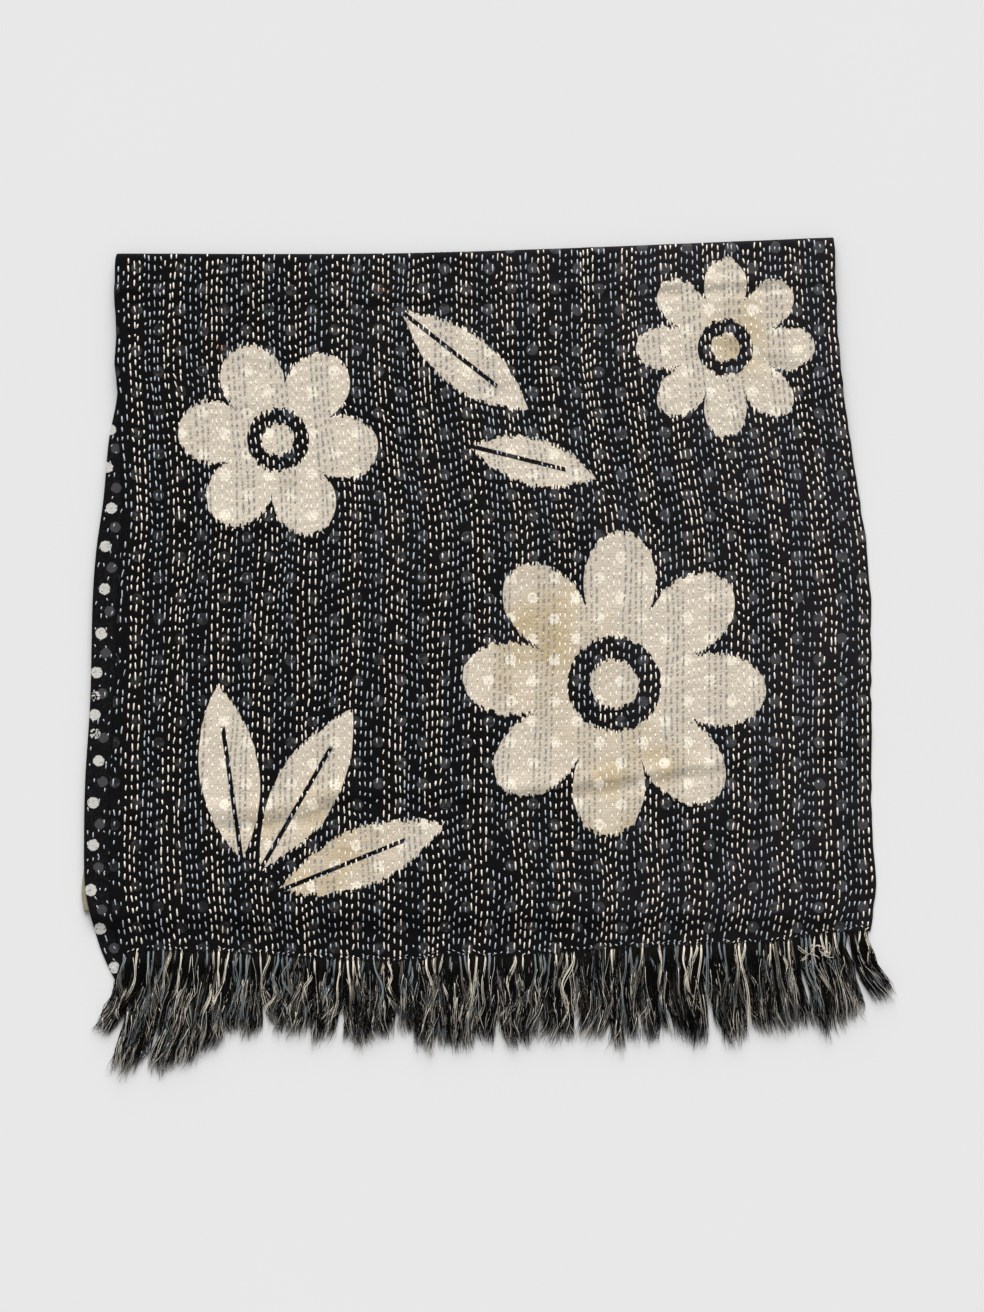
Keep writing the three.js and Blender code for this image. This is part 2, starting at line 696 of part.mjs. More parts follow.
// One lock of three sides, from the strip's cell between two stations to a point at its tip
function lock(body, a, b, index, tips, restAt) {
  const rootX = (a.x + b.x) / 2;
  const rootY = (a.front + b.front) / 2;
  const rootZ = (a.bottom + b.bottom) / 2;
  const lean = readTable(tips, 'x', 'lean', rootX);
  const uneven = TIP_WAVES.reduce((sum, wave) => sum + wave.size * Math.sin(index * wave.perLock), 0);
  const tipY = readTable(tips, 'x', 'y', rootX + lean) + uneven;
  const at = (share) => new THREE.Vector3(
    rootX + lean * share * (1 + share) / 2 + lockRipple(index, share),
    rootY + (tipY - rootY) * share,
    0,
  );
  const heightAt = (share) => restAt(rootX, rootZ, share);
  const rootWidth = Math.min(LOCK_WIDTH, LOCK_FILL * (b.x - a.x));
  const ahead = 0.02;
  let ring = [a.frontLow, b.frontLow, b.frontHigh, a.frontHigh];
  for (const share of [ROOT_LENGTH / (rootY - tipY), ...BENDS]) {
    const here = at(share);
    const along = at(share + ahead).sub(here).normalize();
    const side = new THREE.Vector3(-along.y, along.x, 0);
    const width = rootWidth * (1 - LOCK_TAPER * share);
    const z = heightAt(share);
    const next = [
      body.point(here.x - side.x * width / 2, here.y - side.y * width / 2, z),
      body.point(here.x + side.x * width / 2, here.y + side.y * width / 2, z),
      body.point(here.x, here.y, z + LOCK_HEIGHT * (1 - LOCK_TAPER * share / 2)),
    ];
    body.zipRings(ring, next);
    ring = next;
  }
  const end = at(1);
  const tip = body.point(end.x, end.y, heightAt(1) + LOCK_HEIGHT / 3);
  for (let k = 0; k < ring.length; k += 1) {
    body.triangle(ring[k], ring[(k + 1) % ring.length], tip);
  }
}

const scarf = new THREE.Group();
scarf.add(frontQuarter());
scarf.add(secondQuarter());
scarf.add(innerFold());

// The upper locks lie over the lower ones and come down to the table past their tips.
// The lower fringe crowds to the left, where it shows beyond the upper one.
scarf.add(fringe('front_fringe', {
  sides: FRONT_SIDES,
  hem: FRONT_HEM,
  tips: UPPER_TIPS,
  count: UPPER_LOCKS,
  crowding: 0,
  levelAt: frontLevel,
  restAt: (x, rootZ, share) => {
    const clearOfLower = x > LOWER_SHORT_FROM && share === 1;
    const start = rootZ + GAP;
    const rest = clearOfLower ? LOCK_FLOOR_GAP : LOCK_FLOOR_GAP + LOCK_HEIGHT + 2 * GAP;
    return THREE.MathUtils.lerp(start, Math.min(rest, start), Math.min(share / BENDS[0], 1));
  },
}));
scarf.add(fringe('second_fringe', {
  sides: SECOND_SIDES,
  hem: SECOND_HEM,
  tips: LOWER_TIPS,
  count: LOWER_LOCKS,
  crowding: 0.55,
  levelAt: secondLevel,
  restAt: () => LOCK_FLOOR_GAP,
}));

export default scarf;
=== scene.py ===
import math
from collections import namedtuple

import bmesh
import bpy
import numpy as np
from bpy.props import FloatProperty, FloatVectorProperty, IntProperty, PointerProperty
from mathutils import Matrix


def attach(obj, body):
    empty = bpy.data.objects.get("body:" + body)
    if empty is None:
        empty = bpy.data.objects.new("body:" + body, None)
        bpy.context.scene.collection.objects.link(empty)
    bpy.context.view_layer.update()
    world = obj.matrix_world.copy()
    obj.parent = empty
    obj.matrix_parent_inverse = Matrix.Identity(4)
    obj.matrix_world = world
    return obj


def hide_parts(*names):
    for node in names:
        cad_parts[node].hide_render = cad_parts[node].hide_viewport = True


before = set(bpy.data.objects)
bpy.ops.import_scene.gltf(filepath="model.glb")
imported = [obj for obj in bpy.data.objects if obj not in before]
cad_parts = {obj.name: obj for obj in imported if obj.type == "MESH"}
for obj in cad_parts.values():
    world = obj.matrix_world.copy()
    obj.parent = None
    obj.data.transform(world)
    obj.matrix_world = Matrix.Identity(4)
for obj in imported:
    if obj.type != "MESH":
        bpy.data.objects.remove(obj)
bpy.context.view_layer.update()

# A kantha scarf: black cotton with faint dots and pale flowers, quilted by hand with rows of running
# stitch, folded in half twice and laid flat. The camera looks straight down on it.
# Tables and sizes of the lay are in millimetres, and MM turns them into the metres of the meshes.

bl_info = {
    "name": "Folded kantha scarf",
    "version": (1, 0, 0),
    "blender": (4, 5, 0),
    "location": "3D View > Sidebar > Scarf",
    "description": "Builds a quilted cotton scarf with fringed ends, folded and laid flat",
    "category": "Add Mesh",
}

MM = 0.001
SEED = 27

Side = namedtuple("Side", "y left right")
Point = namedtuple("Point", "x y")
Tip = namedtuple("Tip", "x y lean")
Crease = namedtuple("Crease", "line half_width height")
Flower = namedtuple("Flower", "x y radius petals turn")
Leaf = namedtuple("Leaf", "x y length width turn")
Spot = namedtuple("Spot", "x y radius")
Tangle = namedtuple("Tangle", "x y z width height threads")

# Side edges of the layers, from the top fold down
FRONT_SIDES = (
    Side(262, -279.5, 250.5),
    Side(222, -280.2, 252.3),
    Side(170, -280.0, 255.3),
    Side(118, -276.8, 262.7),
    Side(60, -275.2, 272.3),
    Side(0, -278.7, 277.5),
    Side(-60, -281.0, 278.0),
    Side(-120, -283.5, 278.2),
    Side(-180, -284.2, 279.3),
    Side(-214, -283.0, 281.2),
    Side(-240, -281.0, 277.3),
    Side(-268, -278.0, 272.0),
)
SECOND_SIDES = (
    Side(262, -276.0, 248.0),
    Side(200, -277.5, 251.0),
    Side(152, -279.0, 254.0),
    Side(118, -285.2, 254.5),
    Side(74, -289.3, 256.0),
    Side(37, -294.5, 257.5),
    Side(0, -297.2, 259.0),
    Side(-74, -299.0, 260.0),
    Side(-133, -302.7, 259.5),
    Side(-178, -303.6, 260.0),
    Side(-210, -303.0, 260.5),
    Side(-231, -299.4, 258.6),
    Side(-260, -291.0, 256.5),
    Side(-288, -277.8, 256.0),
)
INNER_SIDES = (
    Side(262, -273.5, 245.5),
    Side(200, -275.0, 248.5),
    Side(152, -276.5, 251.5),
    Side(74, -286.0, 253.5),
    Side(37, -291.0, 255.0),
    Side(0, -293.8, 256.5),
    Side(-74, -296.0, 257.5),
    Side(-133, -300.0, 257.0),
    Side(-178, -301.8, 257.0),
    Side(-196, -303.6, 257.5),
    Side(-216, -305.6, 258.0),
    Side(-231, -303.7, 258.0),
)

# Lines that cross the lay from left to right
TOP_FOLD = (Point(-280, 256.0), Point(-90, 256.0), Point(20, 258.8), Point(250, 267.9))
INNER_END = (Point(-306, -230.6), Point(260, -229.0))
FRONT_HEM = (
    Point(-280, -266.4),
    Point(-262, -260.8),
    Point(-218, -260.5),
    Point(-122, -266.4),
    Point(-70, -267.6),
    Point(-33, -263.8),
    Point(18, -264.2),
    Point(78, -259.2),
    Point(152, -255.3),
    Point(211, -253.0),
    Point(248, -246.8),
    Point(276, -245.0),
)
SECOND_HEM = (Point(-280, -287.5), Point(262, -252.5))

# Creases of the front that its solid has too, lifted off the layer below
LIFTED_CREASES = (
    Crease((Point(-280, 230.0), Point(-196, 224.2), Point(-117, 222.7), Point(98, 232.4),
            Point(250, 238.3)), 6, 0.9),
    Crease((Point(-280, -157.0), Point(-150, -152.0), Point(-115, -141.5), Point(-11, -140.0),
            Point(152, -122.0), Point(276, -101.0)), 12, 1.1),
    Crease((Point(-280, 45.0), Point(-120, 36.0), Point(120, 72.0), Point(276, 88.0)), 60, 0.7),
)

# Soft troughs and ridges in the outer face alone, each fading out at both ends
SOFT_CREASES = (
    Crease((Point(-275, 216), Point(-120, 214), Point(100, 224), Point(250, 230)), 5, -0.85),
    Crease((Point(-272, 45), Point(-180, 44), Point(-118, 34)), 10, -1.1),
    Crease((Point(-268, 60), Point(-150, 58)), 9, 0.5),
    Crease((Point(190, 84), Point(248, 92)), 7, -0.9),
    Crease((Point(115, 74), Point(155, 69)), 6, -0.7),
    Crease((Point(170, 186), Point(210, 172), Point(248, 163)), 9, -0.9),
    Crease((Point(-272, -170), Point(-150, -166), Point(-110, -154)), 8, -0.9),
    Crease((Point(-100, -153), Point(40, -146), Point(215, -118)), 9, -0.8),
    Crease((Point(-88, -243), Point(-44, -231)), 6, -0.7),
    Crease((Point(150, -190), Point(262, -168)), 14, -0.7),
    Crease((Point(-30, 150), Point(80, 160)), 12, -0.5),
)

# Where the fringes' tips end across the lay, and how far a lock leans sideways on its way there
UPPER_TIPS = (
    Tip(-292, -311, -16),
    Tip(-262, -322, -17),
    Tip(-226, -325, -14),
    Tip(-190, -319, -8),
    Tip(-140, -325, -6),
    Tip(-80, -326, -3),
    Tip(-20, -331, 2),
    Tip(40, -327, -2),
    Tip(100, -329, 3),
    Tip(160, -326, 5),
    Tip(215, -322, 9),
    Tip(268, -313, 19),
    Tip(302, -284, 31),
)
LOWER_TIPS = (
    Tip(-302, -314, -24),
    Tip(-291, -322, -22),
    Tip(-284, -346, -20),
    Tip(-266, -350, -19),
    Tip(-236, -348, -15),
    Tip(-212, -337, -10),
    Tip(-185, -311, -7),
    Tip(0, -311, 0),
    Tip(200, -306, 6),
    Tip(280, -292, 13),
)

# Stray threads that curl up on the upper fringe: one small loop and one larger tangle
TANGLES = (Tangle(-144, -284, 4.4, 4.5, 3.5, 2), Tangle(236, -262, 4.8, 13, 7, 8))

# Cut-out flowers and leaves of the pale cloth, a plain design of the builder's own
FLOWERS = (
    Flower(88, -62, 112, 8, 12),
    Flower(-160, 118, 74, 6, 20),
    Flower(170, 186, 66, 8, 0),
)
LEAVES = (
    Leaf(-196, -128, 132, 44, 98),
    Leaf(-139, -140, 136, 46, 60),
    Leaf(-98, -190, 132, 42, 22),
    Leaf(-22, 176, 118, 40, -38),
    Leaf(28, 102, 96, 34, -14),
)

# Stains: tan ones in the pale cloth, and two small rust ones that show in the thread
TAN_STAINS = (Spot(30, -30, 80), Spot(96, -138, 92), Spot(-128, -178, 88), Spot(186, 196, 45))
RUST_STAINS = (Spot(-202, 187, 8.0), Spot(-81, 229, 9.0))


# Sizes and colours that a user would change

def colour(hex_code):
    """An sRGB hex colour as linear red, green, blue and alpha"""
    parts = [int(hex_code[i:i + 2], 16) / 255 for i in (1, 3, 5)]
    return [p / 12.92 if p <= 0.04045 else ((p + 0.055) / 1.055) ** 2.4 for p in parts] + [1.0]


class ClothSizes(bpy.types.PropertyGroup):
    """Sizes of the quilted cloth and of its running stitch"""

    thickness: FloatProperty(
        name="Thickness", description="Two cotton layers stitched together",
        default=1.6 * MM, unit="LENGTH")
    air: FloatProperty(
        name="Air between layers", description="Room between two layers of the lay",
        default=0.3 * MM, unit="LENGTH")
    row_pitch: FloatProperty(
        name="Row pitch", description="Distance between two rows of running stitch",
        default=4.03 * MM, unit="LENGTH")
    row_depth: FloatProperty(
        name="Row depth", description="How deep a row of stitches pulls the cloth in",
        default=0.35 * MM, unit="LENGTH")
    stitch_period_low: FloatProperty(
        name="Stitch spacing at the hem", description="From one stitch to the next near the hem",
        default=7.7 * MM, unit="LENGTH")
    stitch_period_high: FloatProperty(
        name="Stitch spacing at the fold", description="From one stitch to the next near the top fold",
        default=6.9 * MM, unit="LENGTH")
    stitch_length: FloatProperty(
        name="Stitch length", description="Usual length of thread that shows in one stitch",
        default=4.9 * MM, unit="LENGTH")
    stitch_width: FloatProperty(
        name="Stitch width", description="Width of the soft cotton thread",
        default=1.22 * MM, unit="LENGTH")
    flat_width: FloatProperty(
        name="Width of the cut", description="Width of the scarf before it was folded",
        default=560 * MM, unit="LENGTH")


class FringeSizes(bpy.types.PropertyGroup):
    """Sizes of the two fringes"""

    upper_yarns: IntProperty(
        name="Upper yarns", description="Loose black yarns below the front hem", default=5800)
    lower_yarns: IntProperty(
        name="Lower yarns", description="Loose black yarns below the second hem", default=3300)
    # The frayed fibres' pale tips are partly dust and partly painted highlight
    frayed_fibres: IntProperty(
        name="Frayed fibres", description="Pale dusty fibres of each fringe", default=2000)
    yarn_width: FloatProperty(
        name="Yarn width", description="Width of a loose yarn at its root",
        default=0.56 * MM, unit="LENGTH")
    tail_width: FloatProperty(
        name="Tail width", description="Width of a thread tail left from a row of stitches",
        default=1.3 * MM, unit="LENGTH")
    lock_width: FloatProperty(
        name="Lock width", description="Width of hem whose yarns gather into one lock",
        default=5 * MM, unit="LENGTH")
    tuft_width: FloatProperty(
        name="Tuft width", description="Usual width of the tufts that the tips part into",
        default=15 * MM, unit="LENGTH")


class ScarfColours(bpy.types.PropertyGroup):
    """Colours of the cotton, the threads and the floor"""

    black: FloatVectorProperty(
        name="Black cotton", description="Ground of the cloth", subtype="COLOR", size=4,
        default=colour("#0f0e0f"))
    # Faded black is also what the front's painted light gradient lifts the ground towards, in its upper
    # right
    dusty: FloatVectorProperty(
        name="Faded black", description="Ground where it has faded", subtype="COLOR", size=4,
        default=colour("#222022"))
    grey_dot: FloatVectorProperty(
        name="Grey dot", description="Worn dots in the black ground", subtype="COLOR", size=4,
        default=colour("#484749"))
    cream: FloatVectorProperty(
        name="Pale cotton", description="Flowers and leaves", subtype="COLOR", size=4,
        default=colour("#dacebc"))
    tan: FloatVectorProperty(
        name="Yellowed cotton", description="Stains in the pale cotton", subtype="COLOR", size=4,
        default=colour("#c4b08a"))
    pale_dot: FloatVectorProperty(
        name="Pale dot", description="Dots that show in the pale cotton", subtype="COLOR", size=4,
        default=colour("#faf0dc"))
    # Painted shade: the pale cotton darkens to this grey in the grooves of the stitch rows
    pulled: FloatVectorProperty(
        name="Pulled cotton", description="Pale cotton in the grooves of the stitch rows",
        subtype="COLOR", size=4, default=colour("#86827a"))
    hidden: FloatVectorProperty(
        name="Hidden layer", description="Pale cotton of the layers below", subtype="COLOR", size=4,
        default=colour("#a39c84"))
    hidden_blotch: FloatVectorProperty(
        name="Hidden blotch", description="Yellowed blotches of the hidden layers", subtype="COLOR", size=4,
        default=colour("#8a846c"))
    white_dot: FloatVectorProperty(
        name="White dot", description="Dots on the reverse side", subtype="COLOR", size=4,
        default=colour("#cfcdc6"))
    cream_thread: FloatVectorProperty(
        name="Cream thread", description="Cream running stitch", subtype="COLOR", size=4,
        default=colour("#fff3e4"))
    blue_thread: FloatVectorProperty(
        name="Blue-grey thread", description="Blue-grey running stitch", subtype="COLOR", size=4,
        default=colour("#c5ced6"))
    sunk: FloatVectorProperty(
        name="Sunk thread", description="Blue-grey thread that sinks into the pale cotton",
        subtype="COLOR", size=4, default=colour("#8d979e"))
    rust: FloatVectorProperty(
        name="Rust stain", description="Small stains that coloured the thread", subtype="COLOR",
        size=4, default=colour("#c08548"))
    yarn: FloatVectorProperty(
        name="Fringe yarn", description="Black yarn of the fringes", subtype="COLOR", size=4,
        default=colour("#0d0c0b"))
    # Painted highlight, in part: the yarn's pale tips stand partly for fibres catching the light and partly
    # for fading
    frayed: FloatVectorProperty(
        name="Frayed tips", description="Faded fibres at the tips", subtype="COLOR", size=4,
        default=colour("#5f5951"))
    fray: FloatVectorProperty(
        name="Fray", description="Fine fibres between the yarns", subtype="COLOR", size=4,
        default=colour("#131211"))
    # Painted highlight, in part: the near-white fray tips stand partly for fibres catching the light and
    # partly for pale dust
    fray_tip_dust_and_highlight: FloatVectorProperty(
        name="Fray tips", description="Ends of the fine fibres", subtype="COLOR", size=4,
        default=colour("#f0e8da"))
    cream_tail: FloatVectorProperty(
        name="Cream tail", description="Clean end of a cream thread", subtype="COLOR", size=4,
        default=colour("#f2e9d8"))
    blue_tail: FloatVectorProperty(
        name="Blue-grey tail", description="Clean end of a blue-grey thread", subtype="COLOR", size=4,
        default=colour("#8d979c"))
    dull_tail: FloatVectorProperty(
        name="Dull tail", description="Soiled end of a thread", subtype="COLOR", size=4,
        default=colour("#766e64"))
    floor: FloatVectorProperty(
        name="Floor", description="Pale studio floor", subtype="COLOR", size=4,
        default=colour("#e8e8e8"))


# Smooth lines and soft noise

def smooth_line(places, values, at):
    """Values at some places on a smooth curve through the points, level past both ends"""
    order = np.argsort(places)
    place = np.asarray(places, float)[order]
    value = np.asarray(values, float)[order]
    slope = np.empty_like(value)
    slope[1:-1] = (value[2:] - value[:-2]) / (place[2:] - place[:-2])
    slope[0] = (value[1] - value[0]) / (place[1] - place[0])
    slope[-1] = (value[-1] - value[-2]) / (place[-1] - place[-2])
    at = np.clip(at, place[0], place[-1])
    i = np.clip(np.searchsorted(place, at) - 1, 0, len(place) - 2)
    step = place[i + 1] - place[i]
    t = (at - place[i]) / step
    fall = 2 * t ** 3 - 3 * t ** 2 + 1
    bend = (t ** 3 - 2 * t ** 2 + t) * slope[i] + (t ** 3 - t ** 2) * slope[i + 1]
    return fall * value[i] + (1 - fall) * value[i + 1] + step * bend


def read(table, given, wanted, at):
    """A column of a table of millimetres at some places in metres, in metres"""
    places = [getattr(row, given) for row in table]
    values = [getattr(row, wanted) for row in table]
    return smooth_line(places, values, np.asarray(at) / MM) * MM


def smoothstep(value, low, high):
    t = np.clip((value - low) / (high - low), 0, 1)
    return t * t * (3 - 2 * t)


def soft_noise(random, rows, columns, coarse_rows, coarse_columns):
    """Smooth noise around 0 on a grid, with one random value for each coarse cell's corner"""
    values = random.normal(size=(coarse_rows + 1, coarse_columns + 1))
    down = np.linspace(0, coarse_rows - 1e-6, rows)
    across = np.linspace(0, coarse_columns - 1e-6, columns)
    i = down.astype(int)[:, None]
    k = across.astype(int)[None, :]
    f = smoothstep(down - down.astype(int), 0, 1)[:, None]
    g = smoothstep(across - across.astype(int), 0, 1)[None, :]
    low = values[i, k] * (1 - g) + values[i, k + 1] * g
    high = values[i + 1, k] * (1 - g) + values[i + 1, k + 1] * g
    return low * (1 - f) + high * f


# The lay: heights of the layers and the places of their edges

LAY_LEFT = -280 * MM
LAY_RIGHT = 280 * MM

# Cloth that reaches past the layer below stays up for a little and then slumps over this width
SLUMP_START = 0.6 * MM
SIDE_OVERHANG = 3.6 * MM
SLUMP_WIDTH = 17 * MM

# How far the two outer layers run back under the top fold
FOLD_RETURN = 10 * MM
NOSE_RETURN = 2 * MM


def across_at(table, x):
    return read(table, "x", "y", x)


def side_at(sides, which, y):
    return read(sides, "y", which, y)


def past_sides(sides, x, y):
    """How far a place lies outside a layer's side edges"""
    return np.maximum(side_at(sides, "left", y) - x, x - side_at(sides, "right", y))


def slump(past, start):
    """Share of its height that cloth keeps this far past the edge of what it lies on"""
    return 1 - smoothstep(past, start, start + SLUMP_WIDTH)


def ridge(crease, x, y):
    away = np.abs(y - across_at(crease.line, x)) / (crease.half_width * MM)
    return crease.height * MM * (1 - smoothstep(away, 0, 1))


def fading_crease(crease, x, y):
    """A soft crease that fades out over its last quarter at both ends"""
    start = crease.line[0].x * MM
    end = crease.line[-1].x * MM
    fade = (end - start) / 4
    inside = smoothstep(x, start - fade, start + fade) * (1 - smoothstep(x, end - fade, end + fade))
    return ridge(crease, x, y) * inside


class Lay:
    """Levels of the four layers, worked out from the cloth's thickness and the air between them"""

    def __init__(self, sizes):
        self.cloth = sizes.thickness
        self.inner_top = 2 * sizes.thickness + sizes.air
        self.second_base = self.inner_top + sizes.air
        self.front_rise = sizes.thickness + sizes.air
        self.fold_middle = (self.second_base + self.front_rise + sizes.thickness) / 2

        # The top fold comes down to the table, and the second quarter's nose lies inside it
        self.fold_radius = self.fold_middle
        self.nose_radius = self.fold_radius - self.front_rise
        self.row_count = round((LAY_RIGHT - LAY_LEFT) / sizes.row_pitch)

    def fold_line(self, x):
        return across_at(TOP_FOLD, x) - self.fold_radius

    def second_level(self, x, y):
        kept_at_end = slump(across_at(INNER_END, x) - y, SLUMP_START)
        return self.second_base * kept_at_end * slump(past_sides(INNER_SIDES, x, y), SIDE_OVERHANG)

    def front_level(self, x, y):
        lift = sum(ridge(crease, x, y) for crease in LIFTED_CREASES)
        kept_at_side = slump(past_sides(SECOND_SIDES, x, y), SLUMP_START)
        return (self.second_level(x, y) + self.front_rise) * kept_at_side + lift


def crossing(sides, line, share, inset):
    """Places where a line across the lay passes shares of the width between the inset edges"""
    x = LAY_LEFT + (LAY_RIGHT - LAY_LEFT) * share
    y = line(x)
    for _ in range(3):
        left = side_at(sides, "left", y) + inset
        right = side_at(sides, "right", y) - inset
        x = left + (right - left) * share
        y = line(x)
    return x, y


class Surface:
    """Outer face of one folded sheet: rows of points along the cloth, with their normals"""

    def __init__(self):
        self.rows = []
        self.normals = []
        # Share of painted shade in the stitch grooves, for the front
        self.groove = None

    def add_row(self, x, y, z, up_y, up_z):
        zero = np.zeros_like(x)
        self.rows.append(np.stack([x, y + zero, z + zero], 1))
        self.normals.append(np.stack([zero, up_y + zero, up_z + zero], 1))

    def finish(self):
        self.rows = np.array(self.rows)
        self.normals = np.array(self.normals)
        return self

    def raise_top(self, height):
        """Raises or draws in the points that face up, and less and less of those round a fold"""
        on_top = np.clip(self.normals[..., 2:3], 0, 1)
        self.rows = self.rows + self.normals * height[..., None] * on_top


def add_rows(surface, sides, share, inset, start, end, count, height, up):
    """Rows across the lay from one line to another, at the height of each place"""
    for t in np.linspace(0, 1, count):
        x, y = crossing(sides, lambda x: start(x) * (1 - t) + end(x) * t, share, inset)
        surface.add_row(x, y, height(x, y), 0, up)


FOLD_STEPS = 9
UNDER_ROWS = 3


def turned_over(lay, sides, share, hem, level, radius, row_count, under_end):
    """A quarter from its hem up to the top fold, round it, and back under it"""
    surface = Surface()
    inset = lay.cloth / 2
    add_rows(surface, sides, share, inset, lambda x: across_at(hem, x) + inset, lay.fold_line,
             row_count, lambda x, y: level(x, y) + lay.cloth, 1)
    x, y = crossing(sides, lay.fold_line, share, inset)
    upper = level(x, y) + lay.cloth - lay.fold_middle
    for angle in np.linspace(math.pi / 2, -math.pi / 2, FOLD_STEPS)[1:]:
        height = upper if angle > 0 else radius
        rise = height * math.sin(angle)
        surface.add_row(x, y + radius * math.cos(angle), lay.fold_middle + rise,
                        math.cos(angle), math.sin(angle))
    for t in np.linspace(0, 1, UNDER_ROWS + 1)[1:]:
        end = y * (1 - t) + (under_end(x) + inset) * t
        surface.add_row(x, end, lay.fold_middle - radius, 0, -1)
    return surface.finish()


def row_share(lay):
    """Columns of the front: an odd one for each row of stitches, an even one for each crest"""
    return np.arange(2 * lay.row_count + 1) / (2 * lay.row_count)


FRONT_ROWS = 282


def front_base(lay):
    return turned_over(lay, FRONT_SIDES, row_share(lay), FRONT_HEM, lay.front_level,
                       lay.fold_radius, FRONT_ROWS,
                       lambda x: across_at(TOP_FOLD, x) - FOLD_RETURN)


STRIP_ROWS = 10
SECOND_ROWS = 200


def second_base(lay, sizes):
    """The second quarter, with close columns only in the strip that shows at the left"""
    width = sizes.flat_width
    strip = np.arange(2 * STRIP_ROWS + 1) * sizes.row_pitch / 2 / width
    rest = np.linspace(strip[-1], 1, 15)[1:]
    return turned_over(lay, SECOND_SIDES, np.concatenate([strip, rest]), SECOND_HEM,
                       lay.second_level, lay.nose_radius, SECOND_ROWS,
                       lambda x: lay.fold_line(x) - NOSE_RETURN)


HIDDEN_ROWS = 90
HIDDEN_UNDER_ROWS = 40


def hidden_base(lay, sizes):
    """The two hidden quarters, from the top fold down, round the middle fold and back"""
    surface = Surface()
    share = np.concatenate([np.linspace(0, 0.06, 8), np.linspace(0.1, 0.94, 22), np.linspace(0.96, 1, 4)])
    radius = lay.inner_top / 2
    inset = lay.cloth / 2

    def high_end(x):
        return lay.fold_line(x) - NOSE_RETURN - sizes.air - inset

    def low_end(x):
        return across_at(INNER_END, x) + radius

    def under_end(x):
        return across_at(TOP_FOLD, x) - FOLD_RETURN - sizes.air - inset

    add_rows(surface, INNER_SIDES, share, inset, high_end, low_end, HIDDEN_ROWS,
             lambda x, y: lay.inner_top, 1)
    x, y = crossing(INNER_SIDES, low_end, share, inset)
    for angle in np.linspace(math.pi / 2, -math.pi / 2, FOLD_STEPS)[1:-1]:
        surface.add_row(x, y - radius * math.cos(angle), radius + radius * math.sin(angle),
                        -math.cos(angle), math.sin(angle))
    add_rows(surface, INNER_SIDES, share, inset, low_end, under_end, HIDDEN_UNDER_ROWS,
             lambda x, y: 0, -1)
    return surface.finish()


# Running stitch

Stitches = namedtuple("Stitches", "column along length lean width")

# The first rows from the left edge, before the even bands of cream and blue-grey begin
EDGE_BLUE_ROWS = 2
EDGE_CREAM_ROWS = 3
BAND_ROWS = 4

# Stitches run on this far round the nose of the top fold
PAST_NOSE = 1.8 * MM

# How far the stitches of a row are out of step with the next row, drift along it and differ in place
OUT_OF_STEP = 2.05 * MM
STITCH_DRIFT = 1.3 * MM
STITCH_PLACE = 0.5 * MM
STITCH_LEAN = 0.28 * MM
LENGTH_VARIES = 0.27
WIDTH_VARIES = 0.13
SHORTEST_STITCH = 2.3 * MM
LONGEST_STITCH = 8.0 * MM
FIRST_STITCH = 4.5 * MM

# Blue-grey thread is a little finer than cream
BLUE_LENGTH = 0.94
BLUE_WIDTH = 0.92

# Share of stitches that have worn off: few on the whole, more in the first rows at the edge
WORN_OFF = 0.025
WORN_OFF_EDGE = 0.35

# Share of the small stitches at the hem that are there
HEM_KNOTS = 0.7


def is_cream(row):
    """Whether a row of stitches from the left edge has cream thread"""
    if row < EDGE_BLUE_ROWS + EDGE_CREAM_ROWS:
        return row >= EDGE_BLUE_ROWS
    return ((row - EDGE_BLUE_ROWS - EDGE_CREAM_ROWS) // BAND_ROWS) % 2 == 1


def one_table(parts):
    table = np.concatenate(parts)
    return Stitches(table[:, 0].astype(int), *table[:, 1:].T)


def hem_stitches(random, lay, sizes):
    """Small slanted stitches that fasten the rows at the hem"""
    rows = np.repeat(np.arange(lay.row_count), 2)
    count = len(rows)
    along = random.uniform(1.0, 4.2, count) * MM
    length = random.uniform(1.5, 2.8, count) * MM
    lean = random.normal(0, 0.9 * MM, count)
    width = np.full(count, sizes.stitch_width * 0.85)
    return np.stack([rows, along, length, lean, width], 1)[random.random(count) < HEM_KNOTS]


